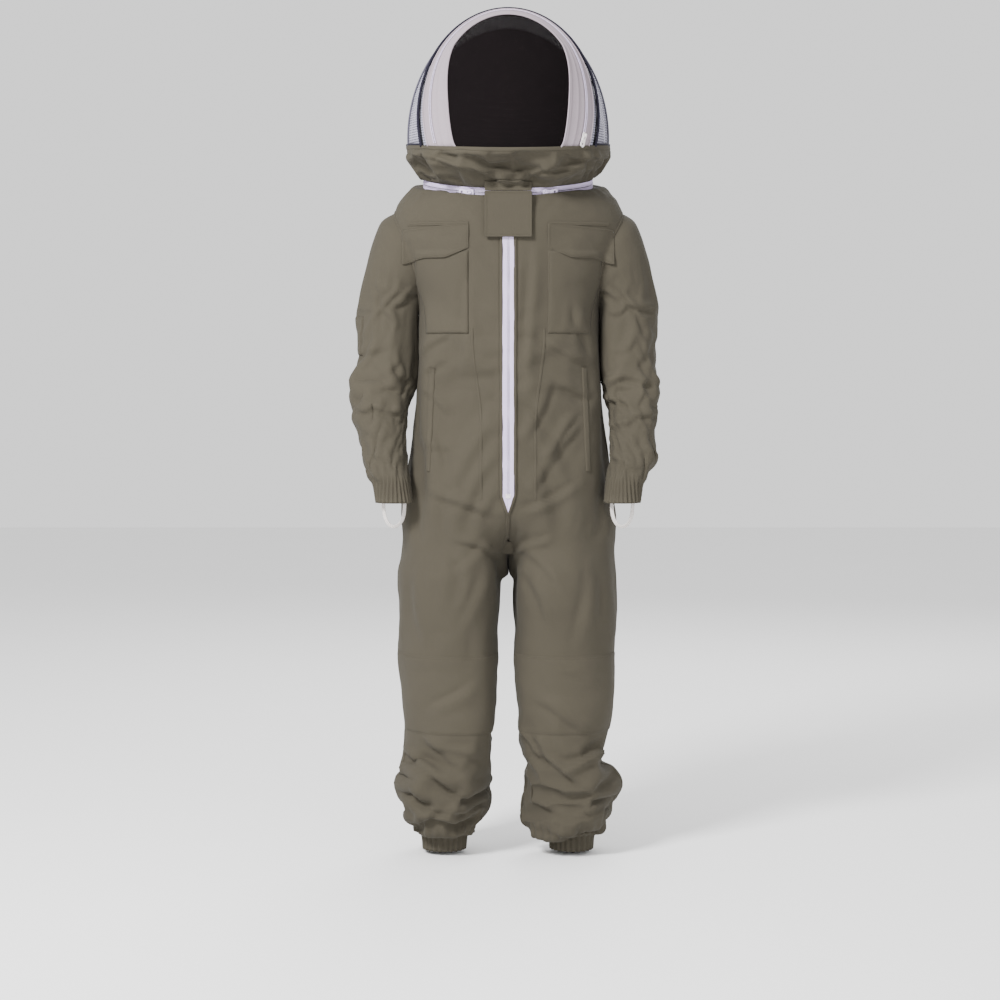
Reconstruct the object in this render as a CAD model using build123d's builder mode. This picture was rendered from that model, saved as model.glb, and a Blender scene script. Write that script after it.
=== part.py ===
"""Hooded one-piece beekeeping suit, shown as worn, with nothing inside it.

Frame: +Z up, +X to the wearer's left, -Y to the front. The origin is the middle of the
shoulder line, where a wearer, a mannequin or a coat hanger carries the suit.
All lengths are millimetres.
"""

import os
from functools import lru_cache
from math import atan, cos, degrees, radians, sin

from build123d import *

os.makedirs("parts", exist_ok=True)

# ---------------------------------------------------------------- driving dimensions
CLOTH = 2.0  # wall of a cloth shell
LAYER = 1.4  # wall of a second layer sewn on a shell
GAP = 0.3  # clearance between pieces of different bodies

# Trunk outline: height, half width, front y, back y. The front is straight along the zip.
TRUNK = [
    (-676, 178, -46, 54),
    (-655, 194, -98, 104),
    (-628, 202, -124, 124),
    (-590, 204, -133, 130),
    (-530, 195, -133, 128),
    (-470, 183, -133, 121),
    (-410, 173, -133, 113),
    (-344, 166, -133, 108),
    (-300, 161, -133, 109),
    (-255, 159, -133, 113),
    (-210, 163, -133, 117),
    (-170, 176, -133, 119),
    (-130, 198, -133, 118),
    (-95, 216, -133, 115),
    (-60, 224, -133, 112),
    (-30, 220, -133, 110),
]
SIDE_SEAM_Y = -8
YOKE_Z = -115

# Neckline: a tilted oval of four arcs that the hood's zip follows.
NECK_ORIGIN = (0, -6, 26)
NECK_TILT = 12  # degrees, the front is lower
NECK_HALF_WIDTH = 156
NECK_HALF_DEPTH = 125
NECK_FRONT_RADIUS = 168
NECK_BAND = 8  # height of white tape that shows on each side of the zip

# Leg outline: height, centre x, half width, half depth, centre y.
LEG = [
    (-1228, 121, 41, 44, 4),
    (-1200, 121, 44, 47, 4),
    (-1176, 121, 64, 66, 2),
    (-1140, 122, 78, 80, 0),
    (-1095, 123, 76, 80, -2),
    (-1050, 119, 76, 82, -4),
    (-991, 113, 80, 86, -4),
    (-925, 113, 86, 94, -2),
    (-857, 113, 92, 102, 0),
    (-790, 113, 98, 112, 0),
    (-690, 109, 101, 122, 0),
    (-610, 103, 94, 116, 0),
    (-530, 98, 76, 96, 0),
]
THIGH_Z = -800  # the leg turns rigidly below this height
ANKLE_CUFF_Z = -1190
KNEE_PATCH = (-1056, -848)

# Sleeve outline: centre, half width, half depth, lean of the section outwards in degrees.
SLEEVE = [
    ((150, 0, -85), 78, 72, 68),
    ((190, 0, -105), 80, 75, 53),
    ((211, 1, -160), 60, 73, 20),
    ((228, 2, -208), 58, 68, 3),
    ((229, 0, -275), 60, 66, 0),
    ((234, -12, -344), 60, 61, 0),
    ((235, -36, -418), 53, 54, 0),
    ((227, -62, -493), 43, 44, 0),
    ((215, -77, -530), 36, 35, 0),
    ((211, -85, -567), 33, 32, 0),
]
SLEEVE_Z = -216  # the sleeve turns rigidly below this height
CUFF_Z = -530

# Hood: an ellipsoid about a vertical axis, on a rim.
HOOD_Y = -15
HOOD_RADIUS = 188
HOOD_HEIGHT = 255
HOOD_EQUATOR_Z = 90
RIM_Z = 85
HOOD_WALL = 1.4
DOME_ANGLES = (0, 9, 18, 27, 36, 44, 52, 60, 68, 76, 84)
# Arch planes: y of the plane at ARCH_Z, and its lean backwards (dy per dz).
ARCH_Z = 100
FACE_ARCH = (-170, 0.38)
ZIP_ARCH = (-146, 0.36)
PIPED_ARCH = (-114, 0.33)
HOOP_ARCH = (-52, 0.26)
BACK_ARCH = (40, 0.12)
HOOP = 3.0

# Zips
TEETH_GAP = 0.8  # half of the slit that a slider's bridge runs in
TEETH_EDGE = 3.6
TEETH_HEIGHT = 2.2
TAPE = 1.2
ZIP_OPENING = 11  # half width of white tape that shows
FRONT_ZIP_TOP = -14
FRONT_ZIP_END = -582
FRONT_SLIDER_Z = -36
NECK_SLIDER_ANGLE = 24

# Throat patch
PATCH_HALF_WIDTH = 43
PATCH_TOP = 3
PATCH_BOTTOM = -80
PATCH_BACK_Y = -139.6

SIDES = ((1, "left"), (-1, "right"))


def save(part, name):
    """Labels a finished piece and writes it as its own STEP file."""
    part.label = name
    export_step(part, f"parts/{name}.step")


# ---------------------------------------------------------------- shared volumes
def neck_plane(height):
    """The neckline's plane, raised along its own normal."""
    tilt = radians(NECK_TILT)
    plane = Plane(origin=NECK_ORIGIN, x_dir=(1, 0, 0), z_dir=(0, -sin(tilt), cos(tilt)))
    return plane.offset(height)


def neck_oval(grow):
    """The neckline as a face: wide arcs at front and back, tighter ones at the sides."""
    rise = NECK_FRONT_RADIUS - NECK_HALF_DEPTH
    tight = NECK_FRONT_RADIUS**2 - NECK_HALF_WIDTH**2 - rise**2
    tight = tight / (2 * (NECK_FRONT_RADIUS - NECK_HALF_WIDTH))
    shift = NECK_HALF_WIDTH - tight
    turn = degrees(atan(shift / rise))
    with BuildSketch(Plane.XY) as oval:
        with BuildLine():
            CenterArc((0, rise), NECK_FRONT_RADIUS + grow, 270 - turn, 2 * turn)
            CenterArc((shift, 0), tight + grow, turn - 90, 180 - 2 * turn)
            CenterArc((0, -rise), NECK_FRONT_RADIUS + grow, 90 - turn, 2 * turn)
            CenterArc((-shift, 0), tight + grow, 90 + turn, 180 - 2 * turn)
        make_face()
    return oval.sketch


def neck_band(low, high, inner, outer):
    """A band along the neckline, between two heights and two offsets of the oval."""
    with BuildPart() as band:
        with BuildSketch(neck_plane(low)):
            add(neck_oval(outer))
            add(neck_oval(inner), mode=Mode.SUBTRACT)
        extrude(amount=high - low)
    return band.part


@lru_cache(maxsize=None)
def trunk(grow):
    """The trunk's outer volume, grown all round; its top follows the neckline."""
    with BuildPart() as body:
        for z, half_width, front, back in TRUNK:
            lift = -min(grow, 0) if z == TRUNK[0][0] else 0
            with BuildSketch(Plane((0, (front + back) / 2, z + lift))):
                Ellipse(half_width + grow, (back - front) / 2 + grow)
        with BuildSketch(neck_plane(-NECK_BAND)):
            Ellipse(NECK_HALF_WIDTH + 2 + grow, NECK_HALF_DEPTH + 2 + grow)
        loft(ruled=True)
    return body.part


@lru_cache(maxsize=None)
def leg(side, grow):
    with BuildPart() as body:
        for z, x, half_width, half_depth, y in LEG:
            with BuildSketch(Plane((side * x, y, z))):
                Ellipse(half_width + grow, half_depth + grow)
        loft(ruled=True)
    return body.part


@lru_cache(maxsize=None)
def sleeve(side, grow):
    with BuildPart() as body:
        for (x, y, z), half_width, half_depth, lean in SLEEVE:
            tilt = radians(lean)
            out = (side * sin(tilt), 0, -cos(tilt))
            plane = Plane(origin=(side * x, y, z), x_dir=(0, 1, 0), z_dir=out)
            with BuildSketch(plane):
                Ellipse(half_depth + grow, half_width + grow)
        loft(ruled=True)
    return body.part


def slab(x, y, z):
    """A box given by its three ranges."""
    with BuildPart() as block:
        with BuildSketch(Plane.XY.offset(z[0])):
            with Locations(((x[0] + x[1]) / 2, (y[0] + y[1]) / 2)):
                Rectangle(x[1] - x[0], y[1] - y[0])
        extrude(amount=z[1] - z[0])
    return block.part


def side_range(side, near, far):
    """A range of x on one side of the suit."""
    return (side * near, side * far) if side > 0 else (side * far, side * near)


def on_trunk(low, high, x, z):
    """A layer over the trunk's front, between two offsets, inside ranges of x and z."""
    with BuildPart() as layer:
        add(slab(x, (-260, SIDE_SEAM_Y), z))
        add(trunk(high), mode=Mode.INTERSECT)
        add(trunk(low), mode=Mode.SUBTRACT)
    return layer.part


# ---------------------------------------------------------------- coverall shell
with BuildPart() as coverall:
    add(trunk(0))
    for side, _ in SIDES:
        add(leg(side, 0))
    add(trunk(-CLOTH), mode=Mode.SUBTRACT)
    for side, _ in SIDES:
        add(leg(side, -CLOTH), mode=Mode.SUBTRACT)
    with BuildSketch(Plane.XZ.offset(90)):
        with BuildLine():
            Polyline(
                (-ZIP_OPENING, 60),
                (ZIP_OPENING, 60),
                (ZIP_OPENING, FRONT_ZIP_END + 30),
                (0, FRONT_ZIP_END),
                (-ZIP_OPENING, FRONT_ZIP_END + 30),
                close=True,
            )
        make_face()
    extrude(amount=90, mode=Mode.SUBTRACT)

with BuildPart() as trunk_shell:
    add(coverall.part)
    split(bisect_by=Plane.XY.offset(TRUNK[0][0]), keep=Keep.TOP)

for side, word in SIDES:
    with BuildPart() as front_panel:
        add(trunk_shell.part)
        split(bisect_by=Plane.XZ.offset(-SIDE_SEAM_Y), keep=Keep.TOP)
        split(bisect_by=Plane.YZ, keep=Keep.TOP if side > 0 else Keep.BOTTOM)
        add(sleeve(side, 0), mode=Mode.SUBTRACT)
    save(front_panel.part, f"front_panel_{word}")

with BuildPart() as back_panel:
    add(trunk_shell.part)
    split(bisect_by=Plane.XZ.offset(-SIDE_SEAM_Y), keep=Keep.BOTTOM)
    split(bisect_by=Plane.XY.offset(YOKE_Z), keep=Keep.BOTTOM)
    for side, _ in SIDES:
        add(sleeve(side, 0), mode=Mode.SUBTRACT)
save(back_panel.part, "back_panel")

with BuildPart() as back_yoke:
    add(trunk_shell.part)
    split(bisect_by=Plane.XZ.offset(-SIDE_SEAM_Y), keep=Keep.BOTTOM)
    split(bisect_by=Plane.XY.offset(YOKE_Z), keep=Keep.TOP)
    for side, _ in SIDES:
        add(sleeve(side, 0), mode=Mode.SUBTRACT)
save(back_yoke.part, "back_yoke")

with BuildPart() as waist_elastic:
    add(slab((-200, 200), (SIDE_SEAM_Y, 160), (-432, -394)))
    add(trunk(-CLOTH), mode=Mode.INTERSECT)
    add(trunk(-CLOTH - 1.2), mode=Mode.SUBTRACT)
save(waist_elastic.part, "waist_elastic")

# ---------------------------------------------------------------- sleeves and legs
for side, word in SIDES:
    with BuildPart() as sleeve_shell:
        add(sleeve(side, 0))
        add(sleeve(side, -CLOTH), mode=Mode.SUBTRACT)

    with BuildPart() as shoulder:
        add(sleeve_shell.part)
        add(trunk(-CLOTH), mode=Mode.SUBTRACT)
        split(bisect_by=Plane.XY.offset(SLEEVE_Z), keep=Keep.TOP)
    save(shoulder.part, f"shoulder_{word}")

    with BuildPart() as sleeve_tube:
        add(sleeve_shell.part)
        split(bisect_by=Plane.XY.offset(SLEEVE_Z - GAP), keep=Keep.BOTTOM)
        split(bisect_by=Plane.XY.offset(CUFF_Z), keep=Keep.TOP)
    save(sleeve_tube.part, f"sleeve_{word}")

    with BuildPart() as cuff:
        add(sleeve_shell.part)
        split(bisect_by=Plane.XY.offset(CUFF_Z), keep=Keep.BOTTOM)
    save(cuff.part, f"cuff_{word}")

    cuff_x, cuff_y = side * SLEEVE[-1][0][0], SLEEVE[-1][0][1]
    cuff_end = SLEEVE[-1][0][2]
    with BuildPart() as thumb_loop:
        with BuildSketch(Plane.XZ.offset(-cuff_y - 4)):
            with Locations((cuff_x, cuff_end)):
                SlotCenterToCenter(60, 42, rotation=90)
                SlotCenterToCenter(60, 38, rotation=90, mode=Mode.SUBTRACT)
        extrude(amount=8)
        split(bisect_by=Plane.XY.offset(cuff_end), keep=Keep.BOTTOM)
        with BuildSketch(Plane.XY.offset(cuff_end)):
            for end in (-1, 1):
                with Locations((cuff_x + end * 24.5, cuff_y)):
                    Rectangle(11, 8)
        extrude(amount=-2)
    save(thumb_loop.part, f"thumb_loop_{word}")

    with BuildPart() as thigh:
        add(coverall.part)
        split(bisect_by=Plane.XY.offset(TRUNK[0][0]), keep=Keep.BOTTOM)
        split(bisect_by=Plane.YZ, keep=Keep.TOP if side > 0 else Keep.BOTTOM)
        split(bisect_by=Plane.XY.offset(THIGH_Z), keep=Keep.TOP)
    save(thigh.part, f"thigh_{word}")

    with BuildPart() as leg_tube:
        add(leg(side, 0))
        add(leg(side, -CLOTH), mode=Mode.SUBTRACT)
        split(bisect_by=Plane.XY.offset(THIGH_Z - GAP), keep=Keep.BOTTOM)
        split(bisect_by=Plane.XY.offset(ANKLE_CUFF_Z), keep=Keep.TOP)
    save(leg_tube.part, f"leg_{word}")

    with BuildPart() as ankle_cuff:
        add(leg(side, 0))
        add(leg(side, -CLOTH), mode=Mode.SUBTRACT)
        split(bisect_by=Plane.XY.offset(ANKLE_CUFF_Z), keep=Keep.BOTTOM)
    save(ankle_cuff.part, f"ankle_cuff_{word}")

    with BuildPart() as knee_patch:
        add(slab(side_range(side, 10, 240), (-200, -12), KNEE_PATCH))
        add(leg(side, LAYER), mode=Mode.INTERSECT)
        add(leg(side, 0), mode=Mode.SUBTRACT)
    save(knee_patch.part, f"knee_patch_{word}")

with BuildPart() as sleeve_pocket:
    add(slab((-320, -240), (-34, 34), (-296, -224)))
    add(sleeve(-1, LAYER), mode=Mode.INTERSECT)
    add(sleeve(-1, 0), mode=Mode.SUBTRACT)
save(sleeve_pocket.part, "sleeve_pocket")

# ---------------------------------------------------------------- front zip
with BuildPart() as front_zip_tape:
    for side, _ in SIDES:
        add(slab(side_range(side, TEETH_GAP, 20), (-140, -100), (FRONT_ZIP_END - 8, FRONT_ZIP_TOP)))
    add(trunk(-CLOTH), mode=Mode.INTERSECT)
    add(trunk(-CLOTH - TAPE), mode=Mode.SUBTRACT)
save(front_zip_tape.part, "front_zip_tape")

with BuildPart() as front_zip_teeth:
    for side, _ in SIDES:
        x = side_range(side, TEETH_GAP, TEETH_EDGE)
        add(slab(x, (-131 - TEETH_HEIGHT, -130), (FRONT_ZIP_END + 34, FRONT_ZIP_TOP)))
    add(trunk(-CLOTH), mode=Mode.SUBTRACT)
save(front_zip_teeth.part, "front_zip_teeth")

with BuildPart() as front_zip_stop:
    add(slab((-4.5, 4.5), (-131 - TEETH_HEIGHT, -130), (FRONT_ZIP_END + 26, FRONT_ZIP_END + 34)))
    add(trunk(-CLOTH), mode=Mode.SUBTRACT)
save(front_zip_stop.part, "front_zip_stop")

# A slider about its own origin: z is outwards from the zip, y is the way it closes.
TAPE_BACK = -TAPE
with BuildPart() as slider:
    with BuildSketch(Plane.XY.offset(TEETH_HEIGHT + 0.6)):
        with BuildLine():
            Polyline((-3.4, -8), (3.4, -8), (5.4, 4), (4.2, 8), (-4.2, 8), (-5.4, 4), close=True)
        make_face()
    extrude(amount=1.6)
    with BuildSketch(Plane.XY.offset(TAPE_BACK - 0.5)):
        with BuildLine():
            Polyline((-3.4, -8), (3.4, -8), (5.4, 4), (4.2, 8), (-4.2, 8), (-5.4, 4), close=True)
        make_face()
    extrude(amount=-1.2)
    with BuildSketch(Plane.XY.offset(TAPE_BACK - 1)):
        with Locations((0, 4.5)):
            Rectangle(1, 6)
    extrude(amount=TEETH_HEIGHT + TAPE + 2)
    with BuildSketch(Plane.YZ.offset(-1.2)):
        with BuildLine():
            Polyline((-1, 4), (5, 4), (5, 7.6), (-1, 7.6), close=True)
        make_face()
        with Locations((2, 5.6)):
            Circle(1.1, mode=Mode.SUBTRACT)
    extrude(amount=2.4)

# Its pull: a pin through the slider's lug, a frame round the lug, and a drop-shaped tab.
PULL_PIVOT = (2, 5.6)
with BuildPart() as pull:
    with BuildSketch(Plane.YZ.offset(-3.4)):
        with Locations(PULL_PIVOT):
            Circle(0.8)
    extrude(amount=6.8)
    for end in (-1, 1):
        with BuildSketch(Plane.XY.offset(PULL_PIVOT[1] - 0.8)):
            with Locations((end * 2.6, -1.1)):
                Rectangle(1.6, 7.8)
        extrude(amount=1.6)
    with BuildSketch(Plane.XY.offset(PULL_PIVOT[1] - 0.8)):
        with BuildLine():
            Polyline((-3.4, -4), (3.4, -4), (5.2, -16), (3.4, -20), (-3.4, -20), (-5.2, -16), close=True)
        make_face()
        with Locations((0, -14.6)):
            Circle(2.2, mode=Mode.SUBTRACT)
    extrude(amount=1.6)


def front_frame(x, y, z):
    """Slider frame on the suit's front: outwards is -Y and closing is up."""
    return Plane(origin=(x, y, z), x_dir=(1, 0, 0), z_dir=(0, -1, 0))


def neck_frame(side):
    """Slider frame on the neck zip: outwards is radial and closing is to the middle."""
    rise = NECK_FRONT_RADIUS - NECK_HALF_DEPTH
    turn = radians(NECK_SLIDER_ANGLE) * side
    radius = NECK_FRONT_RADIUS + 1.6
    base = neck_plane(0)
    centre = base.from_local_coords(Vector(radius * sin(turn), rise - radius * cos(turn), 0))
    out = base.from_local_coords(Vector(sin(turn), -cos(turn), 0)) - base.origin
    return Plane(origin=centre, x_dir=base.z_dir * side, z_dir=out)


slider_frame = front_frame(0, -131, FRONT_SLIDER_Z)
save(slider_frame.from_local_coords(slider.part), "front_zip_slider")
save(slider_frame.from_local_coords(pull.part), "front_zip_pull")
for side, word in SIDES:
    save(neck_frame(side).from_local_coords(slider.part), f"neck_zip_slider_{word}")
    save(neck_frame(side).from_local_coords(pull.part), f"neck_zip_pull_{word}")

# ---------------------------------------------------------------- neck zip
save(neck_band(-NECK_BAND, -TEETH_GAP, 0.4, 1.6), "neck_zip_tape_lower")
save(neck_band(-TEETH_EDGE, -TEETH_GAP, 1.6, 1.6 + TEETH_HEIGHT), "neck_zip_teeth_lower")
save(neck_band(TEETH_GAP, NECK_BAND, 0.4, 1.6), "neck_zip_tape_upper")
save(neck_band(TEETH_GAP, TEETH_EDGE, 1.6, 1.6 + TEETH_HEIGHT), "neck_zip_teeth_upper")

# ---------------------------------------------------------------- chest and hip pockets
with BuildPart() as flap_header:
    for side, _ in SIDES:
        add(on_trunk(0, 7.6, side_range(side, 70, 178), (-58, -52)))
    for side, _ in SIDES:
        add(sleeve(side, 1), mode=Mode.SUBTRACT)
save(flap_header.part, "flap_header")

for side, word in SIDES:
    with BuildPart() as chest_pocket:
        add(on_trunk(0, 6, side_range(side, 76, 172), (-242, -106)))
        add(on_trunk(-1, 4.8, side_range(side, 77.2, 170.8), (-240.8, -90)), mode=Mode.SUBTRACT)
        add(sleeve(side, 1), mode=Mode.SUBTRACT)
    save(chest_pocket.part, f"chest_pocket_{word}")

    with BuildPart() as pocket_flap:
        add(on_trunk(6.4, 7.6, side_range(side, 70, 178), (-124, -58.3)))
        with BuildSketch(Plane.XZ.offset(0)):
            with BuildLine():
                Polyline((side * 69, -104), (side * 69, -126), (side * 91, -126), close=True)
            make_face()
        extrude(amount=200, mode=Mode.SUBTRACT)
        add(sleeve(side, 1), mode=Mode.SUBTRACT)
    save(pocket_flap.part, f"pocket_flap_{word}")

with BuildPart() as hip_pocket_welt:
    for side, _ in SIDES:
        add(on_trunk(0, 1.6, side_range(side, 138, 150), (-511, -316)))
save(hip_pocket_welt.part, "hip_pocket_welt")

with BuildPart() as throat_hook_tape:
    for side, _ in SIDES:
        add(on_trunk(0, 3.6, side_range(side, 15, 39), (-77, -61)))
save(throat_hook_tape.part, "throat_hook_tape")

# ---------------------------------------------------------------- hood
@lru_cache(maxsize=None)
def dome(grow):
    """The hood's volume above the rim, as a stack of rings that closes over the head."""
    with BuildPart() as body:
        with BuildSketch(Plane((0, HOOD_Y, RIM_Z))):
            Circle(HOOD_RADIUS + grow)
        for angle in DOME_ANGLES:
            height = HOOD_EQUATOR_Z + (HOOD_HEIGHT + grow) * sin(radians(angle))
            with BuildSketch(Plane((0, HOOD_Y, height))):
                Circle((HOOD_RADIUS + grow) * cos(radians(angle)))
        loft(ruled=True)
    return body.part


def arch_plane(arch, shift=0.0):
    """A leaning plane across the hood, facing back."""
    y, lean = arch
    return Plane(origin=(0, y, ARCH_Z), x_dir=(1, 0, 0), z_dir=(0, 1, -lean)).offset(shift)


with BuildPart() as dome_shell:
    add(dome(0))
    add(dome(-HOOD_WALL), mode=Mode.SUBTRACT)


def hood_strip(front, back):
    """The part of the hood's wall between two arch planes."""
    with BuildPart() as strip:
        add(dome_shell.part)
        if front:
            split(bisect_by=arch_plane(front), keep=Keep.TOP)
        if back:
            split(bisect_by=arch_plane(back), keep=Keep.BOTTOM)
    return strip.part


def hood_arch(arch, low, high, inner, outer):
    """A hoop that follows an arch, between two shifts of its plane and two offsets."""
    with BuildPart() as hoop:
        add(dome(outer))
        add(dome(inner), mode=Mode.SUBTRACT)
        split(bisect_by=arch_plane(arch, low), keep=Keep.TOP)
        split(bisect_by=arch_plane(arch, high), keep=Keep.BOTTOM)
    return hoop.part


save(hood_strip(None, FACE_ARCH), "hood_face_mesh")
save(hood_strip(FACE_ARCH, ZIP_ARCH), "hood_arch_band_front")
save(hood_strip(ZIP_ARCH, PIPED_ARCH), "hood_arch_band_rear")
for side, word in SIDES:
    with BuildPart() as hood_side_mesh:
        add(hood_strip(PIPED_ARCH, BACK_ARCH))
        split(bisect_by=Plane.YZ, keep=Keep.TOP if side > 0 else Keep.BOTTOM)
    save(hood_side_mesh.part, f"hood_side_mesh_{word}")
save(hood_strip(BACK_ARCH, None), "hood_back_panel")
save(hood_arch(PIPED_ARCH, -1.5, 1.5, -HOOD_WALL - HOOP, -HOOD_WALL), "hood_hoop_front")
save(hood_arch(HOOP_ARCH, -1.5, 1.5, -HOOD_WALL - HOOP, -HOOD_WALL), "hood_hoop_rear")

with BuildPart() as hood_zip_teeth:
    add(hood_arch(ZIP_ARCH, TEETH_GAP, TEETH_EDGE, 0, TEETH_HEIGHT))
    add(hood_arch(ZIP_ARCH, -TEETH_EDGE, -TEETH_GAP, 0, TEETH_HEIGHT))
    split(bisect_by=Plane.XY.offset(RIM_Z + 3), keep=Keep.TOP)
save(hood_zip_teeth.part, "hood_zip_teeth")

with BuildPart() as hood_rim_hoop:
    with BuildSketch(Plane.XY.offset(RIM_Z - 8)):
        with Locations((0, HOOD_Y)):
            Circle(HOOD_RADIUS - CLOTH)
            Circle(HOOD_RADIUS - CLOTH - HOOP, mode=Mode.SUBTRACT)
    extrude(amount=3)
save(hood_rim_hoop.part, "hood_rim_hoop")


def skirt(grow):
    """The hood's skirt between the rim and the neck zip."""
    with BuildPart() as body:
        with BuildSketch(Plane((0, HOOD_Y, RIM_Z))):
            Circle(HOOD_RADIUS + grow)
        with BuildSketch(Plane((0, HOOD_Y, RIM_Z - 14))):
            Circle(HOOD_RADIUS + grow)
        tilt = radians(NECK_TILT * 0.7)
        middle = Plane(origin=(0, -12, 50), x_dir=(1, 0, 0), z_dir=(0, -sin(tilt), cos(tilt)))
        with BuildSketch(middle):
            Ellipse(173 + grow, 148 + grow)
        with BuildSketch(neck_plane(NECK_BAND)):
            Ellipse(NECK_HALF_WIDTH + 2 + grow, NECK_HALF_DEPTH + 2 + grow)
        loft(ruled=True)
    return body.part


with BuildPart() as hood_skirt:
    add(skirt(0))
    add(skirt(-CLOTH), mode=Mode.SUBTRACT)
save(hood_skirt.part, "hood_skirt")

# ---------------------------------------------------------------- throat patch
with BuildPart() as throat_patch_header:
    x = (-PATCH_HALF_WIDTH, PATCH_HALF_WIDTH)
    add(slab(x, (PATCH_BACK_Y - LAYER, -120), (PATCH_TOP + GAP + 1, 15)))
    add(skirt(0), mode=Mode.SUBTRACT)
    add(slab(x, (-150, PATCH_BACK_Y - LAYER), (PATCH_TOP, 20)), mode=Mode.SUBTRACT)
    with BuildSketch(neck_plane(-20)):
        add(neck_oval(4.6))
    extrude(amount=20 + NECK_BAND, mode=Mode.SUBTRACT)
save(throat_patch_header.part, "throat_patch_header")

with BuildPart() as throat_patch:
    with BuildSketch(Plane.XZ.offset(-PATCH_BACK_Y)):
        with Locations((0, (PATCH_TOP + PATCH_BOTTOM) / 2)):
            RectangleRounded(2 * PATCH_HALF_WIDTH, PATCH_TOP - PATCH_BOTTOM, 5)
    extrude(amount=LAYER)
save(throat_patch.part, "throat_patch")

with BuildPart() as throat_loop_tape:
    for side, _ in SIDES:
        add(slab(side_range(side, 15, 39), (PATCH_BACK_Y, PATCH_BACK_Y + 2.7), (-77, -61)))
save(throat_loop_tape.part, "throat_loop_tape")

# ---------------------------------------------------------------- hood zip slider
zip_y, zip_lean = ZIP_ARCH
foot_z = RIM_Z + 14
foot_y = zip_y + zip_lean * (foot_z - ARCH_Z)
foot_x = (HOOD_RADIUS**2 - (foot_y - HOOD_Y) ** 2) ** 0.5
foot_out = Vector(foot_x, foot_y - HOOD_Y, 0).normalized()
foot_along = foot_out.cross(Vector(0, 1, -zip_lean)).normalized()
if foot_along.Z < 0:
    foot_along = -foot_along
hood_zip_frame = Plane(
    origin=(foot_x, foot_y, foot_z),
    x_dir=foot_along.cross(foot_out),
    z_dir=foot_out,
)
with BuildPart() as half_slider:
    add(slider.part)
    split(bisect_by=Plane.XY.offset(TEETH_HEIGHT + 0.6), keep=Keep.TOP)
save(hood_zip_frame.from_local_coords(half_slider.part), "hood_zip_slider")
save(hood_zip_frame.from_local_coords(pull.part), "hood_zip_pull")
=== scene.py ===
"""Looks of the beekeeping suit, in the CAD frame: cloth, mesh, zips, stitching, studio."""

import contextlib
import math

import bmesh
import bpy
import numpy as np
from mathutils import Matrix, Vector
from mathutils.bvhtree import BVHTree


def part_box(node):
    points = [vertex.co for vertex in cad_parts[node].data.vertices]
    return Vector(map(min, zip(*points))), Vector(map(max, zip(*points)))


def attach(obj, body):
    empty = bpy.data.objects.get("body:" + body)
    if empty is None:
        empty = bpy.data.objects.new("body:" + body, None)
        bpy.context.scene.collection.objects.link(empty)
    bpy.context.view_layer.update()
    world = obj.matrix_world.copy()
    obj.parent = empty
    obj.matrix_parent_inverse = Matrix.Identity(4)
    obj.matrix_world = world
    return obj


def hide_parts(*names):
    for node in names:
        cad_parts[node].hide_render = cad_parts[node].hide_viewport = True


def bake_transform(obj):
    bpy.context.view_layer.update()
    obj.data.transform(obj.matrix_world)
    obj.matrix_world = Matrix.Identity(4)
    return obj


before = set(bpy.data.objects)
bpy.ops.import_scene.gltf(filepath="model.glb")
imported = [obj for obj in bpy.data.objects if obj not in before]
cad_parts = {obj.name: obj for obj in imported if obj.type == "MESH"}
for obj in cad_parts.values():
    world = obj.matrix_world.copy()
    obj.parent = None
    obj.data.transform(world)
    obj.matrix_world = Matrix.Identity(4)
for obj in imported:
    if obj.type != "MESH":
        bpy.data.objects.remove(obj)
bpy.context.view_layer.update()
MM = 0.001

# ---------------------------------------------------------------- shape tables, in millimetres
# Trunk: height, half width, front y, back y, how far a body inside stays clear of the cloth.
TRUNK = np.array([
    (-676, 176, -50, 56, 12), (-655, 190, -98, 104, 12), (-628, 198, -122, 122, 13),
    (-590, 200, -131, 128, 13), (-530, 191, -131, 126, 14), (-470, 180, -131, 119, 17),
    (-410, 170, -131, 111, 20), (-344, 163, -131, 106, 20), (-300, 158, -131, 107, 17),
    (-255, 156, -131, 111, 13), (-210, 160, -131, 115, 10), (-170, 173, -131, 117, 8),
    (-130, 195, -131, 116, 7), (-95, 210, -131, 113, 6), (-60, 214, -131, 110, 5),
], float)
# Leg: height, centre x, half width, half depth, centre y, clearance of the body inside.
LEG = np.array([
    (-1229, 121, 40, 43, 4, 6), (-1200, 121, 42, 45, 4, 6), (-1182, 121, 56, 58, 3, 14),
    (-1140, 122, 70, 72, 0, 24), (-1095, 122, 71, 75, -2, 28), (-1050, 119, 72, 78, -4, 27),
    (-991, 114, 77, 83, -4, 24), (-925, 113, 84, 92, -2, 21), (-857, 113, 90, 100, 0, 18),
    (-790, 112, 95, 109, 0, 16), (-690, 107, 99, 119, 0, 14), (-640, 105, 98, 119, 0, 14),
    (-560, 100, 90, 112, 0, 14),
], float)
# Sleeve: centre, half width, half depth, lean of the section, clearance of the arm inside.
SLEEVE = np.array([
    (150, 0, -85, 76, 70, 68, 6), (190, 0, -105, 78, 73, 53, 7), (211, 1, -160, 60, 71, 20, 14),
    (228, 2, -208, 56, 66, 3, 18), (229, 0, -275, 57, 63, 0, 20), (233, -12, -344, 56, 58, 0, 20),
    (234, -36, -418, 50, 51, 0, 16), (227, -62, -493, 41, 42, 0, 13), (215, -77, -530, 34, 33, 0, 7),
    (211, -85, -567, 33, 32, 0, 6),
], float)
TOP_Z, CROTCH_Z, HEM_Z = -60.0, -676.0, -1229.0
FORK_Z = CROTCH_Z - 16
# Neckline: its middle and tilt, the radius of its front and back arcs, half width, half depth.
NECK_ORIGIN = np.array((0.0, -6.0, 26.0))
NECK_TILT = math.radians(12)
NECK_WIDE, NECK_A, NECK_B = 168.0, 156.0, 125.0
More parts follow.
